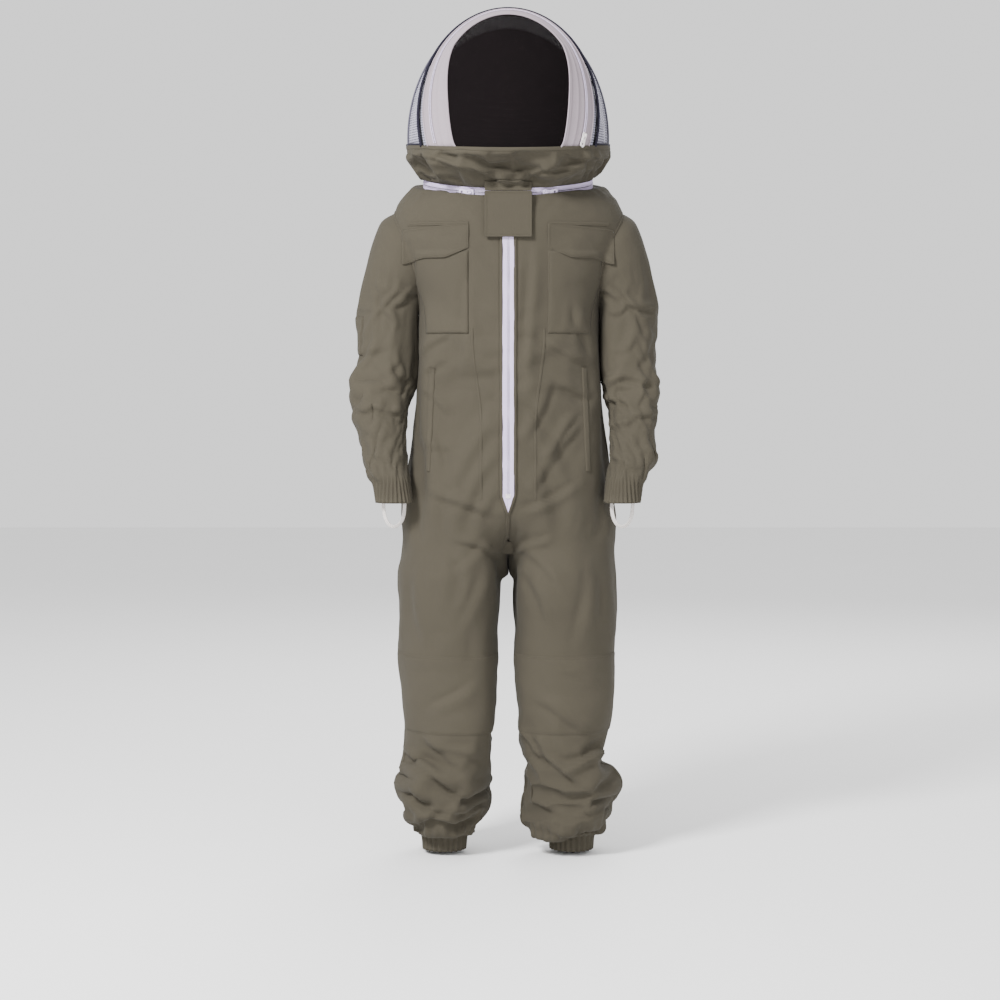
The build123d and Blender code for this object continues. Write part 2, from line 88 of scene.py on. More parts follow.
# Dome of the hood: centre's y, radius, height, height of its foot; upper edge of the skirt.
HOOD_Y, HOOD_R, HOOD_H, HOOD_Z, RIM_Z = -15.0, 188.0, 255.0, 90.0, 85.0
# Arches: y of the plane at z 100, its lean, and how far it bows forward in its lower half.
FACE, ZIP, BAND_END = (-170, 0.38, 13), (-146, 0.36, 5), (-129, 0.352, 2)
PIPED, HOOP, BACK = (-114, 0.33, 0), (-52, 0.26, 0), (40, 0.12, 0)
SIDES = ((1, "left"), (-1, "right"))
MIRROR_X = np.array((-1, 1, 1))
FAR = 400
GROWTH_MAX, TENSION = 0.6, 40


def row_at(table, z):
    """A table's row at a height, eased between its lines."""
    return np.array([np.interp(z, table[:, 0], column) for column in table.T])


def smooth(a, b, x):
    """Eases from 0 at a to 1 at b."""
    t = np.clip((x - a) / (b - a), 0, 1)
    return t * t * (3 - 2 * t)


def unit(v, guard=1e-9):
    """Vectors of length 1, along the last axis."""
    return v / (np.linalg.norm(v, axis=-1, keepdims=True) + guard)


# ---------------------------------------------------------------- mesh helpers
def mesh_object(name, verts, faces, material=None, uvs=None):
    """An object from vertices in millimetres."""
    me = bpy.data.meshes.new(name)
    me.from_pydata([tuple(c * MM for c in v) for v in verts], [], faces)
    me.validate()
    ob = bpy.data.objects.new(name, me)
    bpy.context.scene.collection.objects.link(ob)
    if material is not None:
        me.materials.append(material)
    for p in me.polygons:
        p.use_smooth = True
    if uvs is not None:
        layer = me.uv_layers.new(name="UVMap")
        for loop in me.loops:
            layer.data[loop.index].uv = uvs[loop.vertex_index]
    return ob


@contextlib.contextmanager
def editing(ob):
    """Opens an object's mesh for editing and writes it back."""
    bm = bmesh.new()
    bm.from_mesh(ob.data)
    yield bm
    bm.to_mesh(ob.data)
    bm.free()


def grid_faces(rows, cols, closed=False, start=0):
    """Quads of a grid of points listed row by row; closed joins the last column to the first."""
    out = []
    for i in range(rows - 1):
        for j in range(cols if closed else cols - 1):
            a, k = start + i * cols, (j + 1) % cols
            out.append((a + j, a + k, a + cols + k, a + cols + j))
    return out


def grid_of(rows, cols, point):
    """Points (rows, columns, 3) from point(u, v), where u goes along a row; both are 0 to 1."""
    return np.array([[point(j / (cols - 1), i / (rows - 1)) for j in range(cols)]
                     for i in range(rows)], float)


def path_run(path):
    """The length along a path at each of its points."""
    return np.concatenate(([0], np.cumsum(np.linalg.norm(np.diff(path, axis=0), axis=1))))


def taken(ob, what="co"):
    """Vertex coordinates of an object's mesh in millimetres, or its normals."""
    values = np.empty(len(ob.data.vertices) * 3)
    ob.data.vertices.foreach_get(what, values)
    return values.reshape(-1, 3) / (MM if what == "co" else 1)


def given(ob, co):
    ob.data.vertices.foreach_set("co", (np.asarray(co) * MM).ravel())
    ob.data.update()


def applied(ob):
    """Applies every modifier by taking the evaluated mesh."""
    deps = bpy.context.evaluated_depsgraph_get()
    new = bpy.data.meshes.new_from_object(ob.evaluated_get(deps), depsgraph=deps)
    old = ob.data
    ob.modifiers.clear()
    ob.shape_key_clear()
    ob.data = new
    bpy.data.meshes.remove(old)
    for p in new.polygons:
        p.use_smooth = True
    return ob


def subdivided(ob):
    m = ob.modifiers.new("Subdivision", "SUBSURF")
    m.levels = m.render_levels = 1
    return applied(ob)


def thickened(ob, thick):
    """Gives the cloth its thickness, inwards."""
    m = ob.modifiers.new("Solidify", "SOLIDIFY")
    m.thickness = thick * MM
    m.offset = -1.0
    m.use_even_offset = False
    return applied(ob)


def worn(ob, body, slot, *parts, flat=None, held="laid", rests_on=(), area=None):
    """Fixes a piece to a body, in place of CAD parts; flat, the size of its cut in metres, is not
    used.
    """
    if parts:
        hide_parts(*parts)
    if body:
        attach(ob, body)
    return ob


def over_hip(ob, side, word):
    """Bakes a piece's placement into its mesh."""
    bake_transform(ob)


# ---------------------------------------------------------------- garment surfaces
def neck_point(u, height=0.0, grow=0.0):
    """The neckline from the front centre (u 0) round one side to the back centre (u 1)."""
    rise = NECK_WIDE - NECK_B
    tight = (NECK_WIDE**2 - NECK_A**2 - rise**2) / (2 * (NECK_WIDE - NECK_A))
    shift = NECK_A - tight
    turn = math.atan2(shift, rise)
    wide_len = NECK_WIDE * turn
    side_len = tight * (math.pi - 2 * turn)
    s = u * (2 * wide_len + side_len)
    if s < wide_len:
        a = s / NECK_WIDE
        x, y = (NECK_WIDE + grow) * math.sin(a), rise - (NECK_WIDE + grow) * math.cos(a)
    elif s < wide_len + side_len:
        a = turn + (s - wide_len) / tight
        x, y = shift + (tight + grow) * math.sin(a), -(tight + grow) * math.cos(a)
    else:
        a = (2 * wide_len + side_len - s) / NECK_WIDE
        x, y = (NECK_WIDE + grow) * math.sin(a), -rise + (NECK_WIDE + grow) * math.cos(a)
    c, t = math.cos(NECK_TILT), math.sin(NECK_TILT)
    return NECK_ORIGIN + np.array((x, y * c - height * t, y * t + height * c))


def half_section(z, u, inset):
    """A point of the left half of trunk or leg at height z; u runs front, side, back."""
    _, leg_x, leg_wide, leg_deep, leg_y, clear = row_at(LEG, z)
    li = inset * clear
    psi = 2 * math.pi * u
    lx, ly = leg_x - (leg_wide - li) * math.cos(psi), leg_y - (leg_deep - li) * math.sin(psi)
    if z <= FORK_Z:
        return np.array((lx, ly, z))
    _, wide, front, rear, clear = row_at(TRUNK, max(z, CROTCH_Z))
    ti = inset * clear
    phi = math.pi * u
    half, mid = (rear - front) / 2 - ti, (rear + front) / 2
    # A shape fuller than an ellipse keeps the front flat across the zip.
    c, s = math.cos(phi), math.sin(phi)
    tx, ty = (wide - ti) * abs(s) ** 0.92, mid - half * math.copysign(abs(c) ** 0.92, c)
    w = float(1 - smooth(CROTCH_Z, CROTCH_Z + 95, z))
    x, y = tx + (lx - tx) * w, ty + (ly - ty) * w
    if u in (0.0, 1.0):
        x *= 1 - float(smooth(FORK_Z, CROTCH_Z, z))
    return np.array((x, y, z))


def top_point(t, u, inset):
    """Between the chest at TOP_Z (t 0) and the neckline (t 1), over the shoulder."""
    a = half_section(TOP_Z, u, inset)
    b = a * np.array((0.99, 1.0, 1.0)) + np.array((0, 0, 62.0))
    c = neck_point(u, -8.0, 1.0 - 5.0 * inset)
    b[2] = min(b[2], c[2] + 4)
    return a * (1 - t) ** 2 + b * 2 * t * (1 - t) + c * t * t


def half_grid(step, cols, inset=0.0):
    """The left half's rows, shares of the top and then heights, and its points row by row."""
    n = int(round((TOP_Z - HEM_Z) / step))
    rows = [*np.linspace(1, 0, 11)[:-1], *np.linspace(TOP_Z, HEM_Z, n)]
    pts = [top_point(row, j / cols, inset) if row > 0 else half_section(row, j / cols, inset)
           for row in rows for j in range(cols + 1)]
    return rows, np.array(pts)


def slack(z):
    """How much longer the cloth is than the way it has to go."""
    bunch = 0.22 * smooth(-1000, -1075, z) * (1 - smooth(-1180, -1192, z))
    knee = 0.03 * smooth(-780, -850, z) * (1 - smooth(-1000, -1040, z))
    waist = 0.04 * smooth(-180, -260, z) * (1 - smooth(-600, -660, z))
    thigh = 0.02 * smooth(-640, -700, z)
    return 1.015 + bunch + knee + waist + thigh


def sleeve_grid(step, cols, inset=0.0):
    """How many rows the left sleeve has from armhole to cuff, and its points row by row."""
    lines = np.arange(len(SLEEVE), dtype=float)

    def section(at):
        return np.array([np.interp(at, lines, column) for column in SLEEVE.T])

    keys = np.linspace(0, len(SLEEVE) - 1, 400)
    run = path_run([section(k)[:3] for k in keys])
    rows = int(round(run[-1] / step))
    pts = []
    for d in np.linspace(0, run[-1], rows):
        *centre, wide, deep, lean, clear = section(float(np.interp(d, run, keys)))
        lean = math.radians(lean)
        side, depth = np.array((math.cos(lean), 0, math.sin(lean))), np.array((0, 1.0, 0))
        wide, deep = wide - inset * clear, deep - inset * clear
        for j in range(cols):
            a = 2 * math.pi * j / cols
            pts.append(centre + side * wide * math.cos(a) + depth * deep * math.sin(a))
    return rows, np.array(pts)


def form(verts, faces):
    """A plain dressmaker's form inside the cloth; it only carries the cloth while it settles."""
    ob = mesh_object("form", verts, faces)
    with editing(ob) as bm:
        bmesh.ops.remove_doubles(bm, verts=bm.verts, dist=0.5 * MM)
        bmesh.ops.recalc_face_normals(bm, faces=bm.faces)
    ob.modifiers.new("Collision", "COLLISION")
    ob.collision.thickness_outer = 0.004
    ob.collision.thickness_inner = 0.02
    ob.collision.cloth_friction = 12
    return ob


def body_form():
    """Trunk and legs of the form."""
    cols = 26
    rows, pts = half_grid(20, cols, 1.0)
    left = grid_faces(len(rows), cols + 1)
    right = [f[::-1] for f in grid_faces(len(rows), cols + 1, False, len(pts))]
    return form([*pts, *(pts * MIRROR_X)], left + right)


def arm_form(side):
    cols = 20
    rows, pts = sleeve_grid(20, cols, 1.0)
    return form(pts * (side, 1, 1), grid_faces(rows, cols, True))


def settled(verts, faces, growth, pins, frames, make_form=None):
    """Where cloth comes to rest; growth says how much more of it there is, and pins hold it."""
    ob = mesh_object("settling", verts, faces)
    made = [ob, make_form()] if make_form else [ob]
    group = ob.vertex_groups.new(name="pin")
    for i in pins:
        group.add([int(i)], 1.0, "REPLACE")
    extra = ob.vertex_groups.new(name="extra")
    for i, w in enumerate(growth):
        extra.add([i], float(np.clip(1 - w / GROWTH_MAX, 0, 1)), "REPLACE")
    m = ob.modifiers.new("Cloth", "CLOTH")
    s = m.settings
    s.quality = 6
    s.mass = 0.05
    s.tension_stiffness = s.compression_stiffness = TENSION
    s.shear_stiffness = TENSION * 0.4
    s.bending_stiffness = s.bending_damping = 0.5
    s.tension_damping = s.compression_damping = s.shear_damping = 8
    s.air_damping = 2.0
    s.vertex_group_mass = "pin"
    s.pin_stiffness = 1.0
    s.vertex_group_shrink = "extra"
    s.shrink_min, s.shrink_max = -GROWTH_MAX, 0.0
    c = m.collision_settings
    c.use_collision = make_form is not None
    c.collision_quality = 2
    c.distance_min = 0.004
    c.use_self_collision = True
    c.self_distance_min = 0.0035
    c.self_friction = 8
    scene = bpy.context.scene
    scene.frame_start, scene.frame_end = 1, frames
    m.point_cache.frame_start, m.point_cache.frame_end = 1, frames
    for f in range(1, frames + 1):
        scene.frame_set(f)
    applied(ob)
    scene.frame_set(1)
    co = taken(ob)
    for used in made:
        bpy.data.objects.remove(used)
    return co


def soft_noise(pts, scale, seed, octaves=2):
    """Smooth noise from a few sine waves, the same on every run."""
    r = np.random.default_rng(seed)
    out = np.zeros(len(pts))
    for o in range(octaves):
        for _ in range(5):
            d = r.normal(size=3)
            d /= np.linalg.norm(d)
            out += np.sin(pts @ d * (2 ** o) / scale + r.uniform(0, 6.28)) / (2 ** o)
    return out / (5 * octaves ** 0.5)


def noise_at(x, y, z, scale, seed):
    """Smooth noise at one place."""
    return float(soft_noise(np.array([(x, y, z)]), scale, seed)[0])


# ---------------------------------------------------------------- materials
def srgb(r, g, b):
    """A shader colour from 0 to 255 screen values."""
    return tuple(((c / 255 + 0.055) / 1.055) ** 2.4 for c in (r, g, b)) + (1.0,)


class Finish:
    """A material in the making: its nodes and its surface shader."""

    def __init__(self, name, **constants):
        self.material = bpy.data.materials.new(name)
        self.material.use_nodes = True
        self.tree = self.material.node_tree
        self.shader = self.tree.nodes["Principled BSDF"]
        for socket, value in constants.items():
            self.shader.inputs[socket.replace("_", " ")].default_value = value

    def node(self, kind, inputs, output=0, **settings):
        """Adds a node and returns one of its outputs; inputs are values or other nodes' outputs."""
        n = self.tree.nodes.new("ShaderNode" + kind)
        for key, value in settings.items():
            setattr(n, key, value)
        for key, value in inputs.items():
            if isinstance(value, bpy.types.NodeSocket):
                self.tree.links.new(value, n.inputs[key])
            else:
                n.inputs[key].default_value = value
        return n.outputs[output]

    def math(self, operation, *values):
        return self.node("Math", dict(enumerate(values)), operation=operation)

    def place(self):
        """Where a point is on the object, in metres."""
        return self.node("TexCoord", {}, "Object")

    def bands(self, place, pitch, direction):
        """Fine parallel ridges, one for each pitch in metres."""
        scale = math.pi / (10 * pitch)
        return self.node("TexWave", {"Vector": place, "Scale": scale}, "Fac",
                         bands_direction=direction)

    def noise(self, place, size, detail=2.0, stretch=(1, 1, 1)):
        """Noise with features of about this size in metres, longer along a stretched axis."""
        put = self.node("Mapping", {"Vector": place, "Scale": [1 / (size * s) for s in stretch]})
        return self.node("TexNoise", {"Vector": put, "Scale": 1.0, "Detail": detail}, "Fac")

    def ranged(self, value, low, high):
        """A value from 0 to 1, spread from low to high instead."""
        return self.node("MapRange", {"Value": value, "To Min": low, "To Max": high})

    def set(self, socket, value):
        self.tree.links.new(value, self.shader.inputs[socket])

    def colour(self, colour, value):
        self.set("Base Color", self.node("HueSaturation", {"Color": colour, "Value": value}))

    def bump(self, height, strength, distance):
        self.set("Normal", self.node("Bump", {"Height": height, "Strength": strength,
                                              "Distance": distance}))


def woven(name, colour, pitch=0.0009, roughness=0.9, sheen=0.02, mottle=0.16, relief=0.5):
    """Twill cotton: slanted ribs, uneven yarn, faint mottling and paler worn places."""
    f = Finish(name, Sheen_Weight=sheen, Sheen_Roughness=0.55, Specular_IOR_Level=0.15)
    cut = f.node("UVMap", {})
    place = f.place()
    ribs = f.bands(cut, pitch, "DIAGONAL")
    yarn = f.noise(cut, 0.0012, 2.0, (1, 14, 1))
    patchy = f.noise(place, 0.16, 4.0)
    worn_places = f.node("Attribute", {}, "Fac", attribute_name="wear")
    value = f.math("MULTIPLY_ADD", patchy, mottle, 1 - mottle / 2)
    for part, low, high in ((yarn, 0.93, 1.07), (ribs, 0.95, 1.03), (worn_places, 1.0, 1.14)):
        value = f.math("MULTIPLY", value, f.ranged(part, low, high))
    f.colour(colour, value)
    f.set("Roughness", f.ranged(yarn, roughness - 0.06, min(1.0, roughness + 0.08)))
    f.bump(f.math("ADD", f.math("MULTIPLY", ribs, 0.6), yarn), relief, 0.0003)
    return f.material


def netting(name, colour, pitch, open_share, relief=0.5, shine=0.3, rough=0.6):
    """See-through net: threads both ways with square holes between them."""
    f = Finish(name, Specular_IOR_Level=shine)
    cut = f.node("UVMap", {})
    across, along = f.bands(cut, pitch, "X"), f.bands(cut, pitch, "Y")
    threads = f.math("MAXIMUM", across, along)
    uneven = f.noise(f.place(), 0.03, 3.0)
    edge = 0.5 + 0.5 * math.sin(math.pi * (open_share ** 0.5 - 0.5))
    f.set("Alpha", f.node("MapRange", {"Value": threads, "From Min": edge - 0.1,
                                       "From Max": edge + 0.1}))
    f.colour(colour, f.ranged(uneven, 0.8, 1.2))
    f.set("Roughness", f.ranged(uneven, rough - 0.1, rough + 0.15))
    f.bump(threads, relief, 0.0004)
    return f.material


def moulded(name, colour, roughness, coat=0.0):
    """Enamelled metal or plastic with fine orange peel and rubbed spots."""
    f = Finish(name, Coat_Weight=coat, Coat_Roughness=0.2)
    place = f.place()
    peel, rubbed = f.noise(place, 0.0004, 2.0), f.noise(place, 0.006, 4.0)
    f.colour(colour, f.ranged(rubbed, 0.86, 1.1))
    f.set("Roughness", f.ranged(rubbed, roughness - 0.1, roughness + 0.15))
    f.bump(peel, 0.25, 0.0001)
    return f.material


KHAKI = woven("khaki_twill", srgb(61, 57, 48))
KHAKI_THREAD = woven("khaki_thread", srgb(70, 65, 54), 0.0004, 0.7, 0.02, 0.05, 0.3)
TAPE_WHITE = woven("zip_tape", srgb(190, 176, 208), 0.0011, 0.75, 0.02, 0.05, 0.5)
BAND_WHITE = woven("band_cotton", srgb(142, 131, 138), 0.0010, 0.8, 0.02, 0.06, 0.4)
ELASTIC = woven("elastic_web", srgb(200, 194, 190), 0.0016, 0.7, 0.02, 0.06, 0.8)
TEETH = moulded("zip_coil", srgb(196, 184, 210), 0.4)
METAL = moulded("white_enamel", srgb(214, 208, 208), 0.32, 0.4)
BLACK_NET = netting("black_net", srgb(14, 11, 12), 0.0015, 0.05, 0.06, 0.03, 0.9)
WHITE_NET = netting("white_net", srgb(150, 148, 164), 0.0042, 0.30)
BLACK_TAPE = woven("black_binding", srgb(24, 22, 34), 0.0011, 0.8, 0.02, 0.1, 0.5)
GREY_TAPE = woven("grey_binding", srgb(78, 76, 88), 0.0011, 0.8, 0.02, 0.1, 0.5)
HOOPS = moulded("black_hoop", srgb(26, 26, 30), 0.45)
HOOK = woven("hook_tape", srgb(112, 104, 92), 0.0018, 0.95, 0.4, 0.2, 1.0)
# The record's material slots.
COTTON, TAPE_SLOT, TEETH_SLOT = "khaki_cotton", "white_zip_tape", "white_zip_teeth"


# ---------------------------------------------------------------- pieces laid on other cloth
def surface_of(*objects):
    """A search tree over some meshes, in millimetres."""
    verts, faces = [], []
    for ob in objects:
        start = len(verts)
        verts += [tuple(c) for c in taken(ob)]
        faces += [tuple(start + i for i in p.vertices) for p in ob.data.polygons]
    return BVHTree.FromPolygons(verts, faces)


def nearest(tree, p):
    """The closest place on a surface and its outward normal."""
    where, normal, _, _ = tree.find_nearest(Vector(p))
    return np.array(where), np.array(normal)


def depth_in(tree, p):
    """How far a point is under a surface; negative outside it."""
    where, normal = nearest(tree, p)
    return float(np.dot(where - p, normal))


def from_front(x, z, back=False):
    """A ray at the suit from straight ahead, or from straight behind."""
    side = 1 if back else -1
    return (x, side * FAR, z), (0, -side, 0)


def struck(tree, start, way):
    """Where a ray first meets a surface, or None."""
    hit = tree.ray_cast(Vector(start), Vector(way))[0]
    return None if hit is None else np.array(hit)


def all_struck(tree, rays):
    """The places where some rays meet a surface."""
    hits = [struck(tree, *ray) for ray in rays]
    return [hit for hit in hits if hit is not None]


def facing_out(ob, middle):
    """Turns the faces so that they look away from the middle, in millimetres."""
    centre = Vector(middle) * MM
    total = sum((Vector(p.center) - centre).dot(p.normal) * p.area for p in ob.data.polygons)
    if total < 0:
        with editing(ob) as bm:
            bmesh.ops.reverse_faces(bm, faces=bm.faces)


def sheet_from(name, grid, pitch_u, pitch_v, material=None, closed=False, middle=(0, 0, -300),
               finer=True):
    """A sheet over a grid of points (rows, columns, 3); its UVs are the flat cut in metres."""
    rows, cols = grid.shape[:2]
    if closed:
        grid = np.concatenate([grid, grid[:, :1]], 1)
        cols += 1
    uvs = [(j * pitch_u * MM, -i * pitch_v * MM) for i in range(rows) for j in range(cols)]
    ob = mesh_object(name, grid.reshape(-1, 3), grid_faces(rows, cols), material or KHAKI, uvs)
    facing_out(ob, middle)
    if closed:
        with editing(ob) as bm:
            bmesh.ops.remove_doubles(bm, verts=bm.verts, dist=0.01 * MM)
    return subdivided(ob) if finer else ob


def laid_grid(tree, rows, cols, aim, lift):
    """Points on a surface: aim(u, v) gives a ray, lift(u, v) how far above the surface to stay."""
    def point(u, v):
        start, way = aim(u, v)
        hit, normal, _, _ = tree.ray_cast(Vector(start), Vector(way))
        if hit is None:
            hit, normal, _, _ = tree.find_nearest(Vector(start))
        normal = np.array(normal)
        if np.dot(normal, way) > 0:
            normal = -normal
        return np.array(hit) + normal * lift(u, v)

    return grid_of(rows, cols, point)


def spaced_path(path, step):
    """The path again, in equal steps of about this length."""
    path = np.array(path, float)
    run = path_run(path)
    at = np.linspace(0, run[-1], max(3, int(run[-1] / step) + 1))
    return np.stack([np.interp(at, run, path[:, i]) for i in range(3)], 1)


def directions(path):
    """The way a path goes at each of its points, from the point before to the point after."""
    last = len(path) - 1
    return [path[min(i + 1, last)] - path[max(i - 1, 0)] for i in range(len(path))]


# A seam's section: share of its width, share of its height.
PROFILE = ((-0.5, 0.1), (-0.44, 0.8), (-0.25, 1.0), (0.0, 0.9), (0.25, 1.0), (0.44, 0.8),
           (0.5, 0.1))


def seam(name, body, tree, path, width, lift, step=7.0):
    """A folded and stitched strip of cloth along a path on a surface."""
    path = spaced_path(path, step)
    for _ in range(2):
        path[1:-1] = (path[:-2] + 2 * path[1:-1] + path[2:]) / 4
    grid = np.zeros((len(path), len(PROFILE), 3))
    for i, (p, along) in enumerate(zip(path, directions(path))):
        across = unit(np.cross(along, nearest(tree, p)[1]))
        for j, (share, rise) in enumerate(PROFILE):
            where, up = nearest(tree, p + across * share * width)
            grid[i, j] = where + up * rise * lift
    ob = sheet_from(name, grid, width / len(PROFILE), step, finer=False)
    return worn(ob, body, COTTON)


STITCH, GAP, THREAD = 2.4, 1.3, 0.55
STITCH_RINGS = ((-0.5, 0.25), (-0.3, 0.5), (0.3, 0.5), (0.5, 0.25))


def dashes(path, tree, lift):
    """Stitches along a path, as small pillow shapes: a list of vertices and one of faces."""
    verts, faces = [], []
    path = spaced_path(path, (STITCH + GAP) / 2)
    for a, b in zip(path[0:-1:2], path[1::2]):
        along = b - a
        size = np.linalg.norm(along)
        if size < 1e-6:
            continue
        along = along / size
        mid, up = nearest(tree, (a + b) / 2)
        across = unit(np.cross(along, up))
        mid = mid + up * lift
        start = len(verts)
        for share, wide in STITCH_RINGS:
            for turn in range(4):
                t = math.pi / 2 * turn
                ring = across * math.cos(t) + up * math.sin(t)
                verts.append(mid + along * share * STITCH + ring * wide * THREAD)
        faces += grid_faces(len(STITCH_RINGS), 4, True, start)
        faces += [tuple(start + k for k in cap) for cap in ((3, 2, 1, 0), (12, 13, 14, 15))]
    return verts, faces


def stitching(name, body, lines):
    """One piece of thread made from several lines of dashes."""
    verts, faces = [], []
    for v, f in lines:
        faces += [tuple(len(verts) + i for i in face) for face in f]
        verts += v
    return worn(mesh_object(name, verts, faces, KHAKI_THREAD), body, COTTON)


def tube(name, path, radius, material):
    """A round piping along a path on the hood."""
    sides = 8
    path = spaced_path(path, 6.0)
    verts = []
    up = np.array((0.0, 0.0, 1.0))
    for p, along in zip(path, directions(path)):
        along = unit(along)
        side = np.cross(along, up)
        if np.linalg.norm(side) < 0.2:
            side = np.cross(along, (0.0, 1.0, 0.0))
        side /= np.linalg.norm(side)
        up = np.cross(side, along)
        for j in range(sides):
            t = 2 * math.pi * j / sides
            verts.append(p + (side * math.cos(t) + up * math.sin(t)) * radius)
    faces = grid_faces(len(path), sides, True)
    verts += [path[0], path[-1]]
    last = (len(path) - 1) * sides
    for j in range(sides):
        k = (j + 1) % sides
        faces += [(len(verts) - 2, k, j), (len(verts) - 1, last + j, last + k)]
    ob = mesh_object(name, verts, faces, material, [(v[0] * MM, v[2] * MM) for v in verts])
    with editing(ob) as bm:
        bmesh.ops.recalc_face_normals(bm, faces=bm.faces)
    return worn(ob, "hood", "black_hoop" if material is BLACK_TAPE else COTTON)


TOOTH_PITCH = 2.6


def teeth(name, body, part, rails, outward, length):
    """Zip coil: small loops along rails; outward(p) is the way the loops stand up."""
    verts, faces = [], []
    for path in rails:
        path = spaced_path(path, TOOTH_PITCH)
        for a, b in zip(path, path[1:]):
            along = unit(b - a)
            mid, start = (a + b) / 2, len(verts)
            up = outward(mid)
            across = unit(np.cross(along, up))
            for end, rise in ((-0.5, 0.2), (-0.35, 0.9), (0.35, 0.9), (0.5, 0.2)):
                for s in (-1, 1):
                    verts.append(mid + across * end * length + up * rise
                                 + along * s * TOOTH_PITCH * 0.32)
            for r in (start, start + 2, start + 4):
                faces.append((r, r + 1, r + 3, r + 2))
            faces.append((start, start + 6, start + 7, start + 1))
    return worn(mesh_object(name, verts, faces, TEETH), body, TEETH_SLOT, part)


# ---------------------------------------------------------------- the coverall
STEP, COLS = 10.5, 52


def settled_coverall():
    """Settles the coverall as one welded cloth and returns each side's grid of points."""
    rows, pts = half_grid(STEP, COLS)
    n, count = COLS + 1, len(pts)
    verts = np.concatenate([pts, pts * MIRROR_X])
    weld = {}
    for i, z in enumerate(rows):
        first, last = i * n, i * n + COLS
        if z > FORK_Z:
            weld[count + first], weld[count + last] = first, last
        else:
            weld[last], weld[count + last] = first, count + first
    kept = [i for i in range(2 * count) if i not in weld]
    new = {old: k for k, old in enumerate(kept)}
    index = np.array([new[weld.get(i, i)] for i in range(2 * count)])
    faces = []
    for start, way in ((0, -1), (count, 1)):
        for f in grid_faces(len(rows), n, False, start):
            g = tuple(dict.fromkeys(int(index[i]) for i in f))
            if len(g) > 2:
                faces.append(g[::way])
    pins = set()
    for i, z in enumerate(rows * 2):
        for k in range(i * n, (i + 1) * n):
            beside_zip = abs(verts[k][0]) < 14 and verts[k][1] < 0 and z > -582
            if i % len(rows) < 2 or beside_zip or z < -1196:
                pins.add(int(index[k]))
    v = verts[kept]
    leg_x = np.where(v[:, 2] < CROTCH_Z, np.sign(v[:, 0]) * 113, 0)
    out = unit(np.stack([v[:, 0] - leg_x, v[:, 1], np.zeros(len(v))], 1), 1e-6)
    ripple = soft_noise(v, 22, 3) * 5.4 + soft_noise(v * np.array((1, 1, 3)), 30, 5) * 3.6
    ripple[list(pins)] = 0
    co = settled(v + out * ripple[:, None], faces, slack(v[:, 2]) - 1, pins, 36, body_form)
    return co[index].reshape(2, len(rows), n, 3)


def mark_wear(ob, amount):
    """Stores how worn the cloth is at each vertex, 0 to 1, for its material."""
    layer = ob.data.attributes.new("wear", "FLOAT", "POINT")
    layer.data.foreach_set("value", np.clip(amount, 0, 1).astype(np.float32))


def fading(z, middle, reach):
    """1 at a height, falling to 0 away from it."""
    return np.exp(-((z - middle) / reach) ** 2)


def gathered(co, centre, low, high, waves, depth, seed):
    """Ripples of a gathered channel round a tube, strongest between two heights."""
    angle = np.arctan2(co[:, 1] - centre[1], co[:, 0] - centre[0])
    strength = smooth(low - 6, low + 6, co[:, 2]) * (1 - smooth(high - 4, high + 26, co[:, 2]))
    uneven = 1 + 0.5 * soft_noise(co, 18, seed)
    drift = 0.8 * soft_noise(co * np.array((1, 1, 0)), 30, seed + 1)
    push = depth * strength * uneven * np.sin(waves * angle + 6 * drift)
    out = np.stack([np.cos(angle), np.sin(angle), np.zeros(len(co))], 1)
    return co + out * push[:, None]


# Creases pressed into the settled cloth: ends (x, z), width and depth.
CREASES = [
    (-160, -287, -112, -250, 9, 3.0), (-156, -318, -112, -302, 10, 2.2),
    (-154, -356, -102, -398, 10, 2.6), (-137, -542, -24, -588, 10, 4.0),
    (-92, -630, -10, -660, 9, 3.4), (-150, -450, -96, -470, 12, 1.6),
    (-62, -150, -82, -330, 13, 1.6), (-120, -520, -150, -430, 12, 1.8),
    (48, -112, 38, -345, 12, 3.4), (62, -262, 156, -312, 10, 3.4), (126, -205, 160, -292, 11, 2.6),
    (128, -538, 20, -590, 10, 4.0), (40, -536, 128, -415, 12, 3.4), (64, -478, 126, -400, 9, 3.6),
    (30, -450, 76, -340, 11, 3.0), (74, -632, 12, -662, 9, 3.4), (100, -345, 150, -372, 10, 2.8),
    (-40, -700, -72, -800, 14, 2.6), (40, -690, 84, -790, 14, 3.2),
    (-170, -690, -150, -840, 15, 2.4), (160, -680, 138, -830, 15, 2.8),
    (-30, -640, -100, -700, 12, 2.4), (34, -650, 104, -716, 12, 2.8),
    (-60, -905, -140, -960, 13, 2.8), (60, -930, 150, -985, 13, 3.2),
    (-150, -1010, -52, -1040, 11, 3.4), (48, -1000, 96, -1060, 10, 4.0),
    (178, -1030, 98, -1062, 10, 4.0), (110, -870, 168, -900, 13, 2.0),
]
ANKLE_CREASES = [
    (-204, -1030, -70, -1116, 9, 7.0), (-182, -1168, -122, -1136, 8, 6.0),
    (-130, -1138, -70, -1146, 8, 5.0), (-112, -1196, -40, -1168, 8, 5.0),
    (-190, -1090, -150, -1128, 9, 4.0), (-150, -1000, -96, -1056, 10, 4.0),
    (22, -996, 66, -1042, 8, 6.0), (60, -1036, 148, -1094, 8, 6.5), (200, -1030, 100, -1068, 8, 7.0),
    (48, -1130, 124, -1150, 8, 6.0), (120, -1150, 186, -1134, 8, 6.0),
    (74, -1184, 152, -1190, 8, 5.0),
]
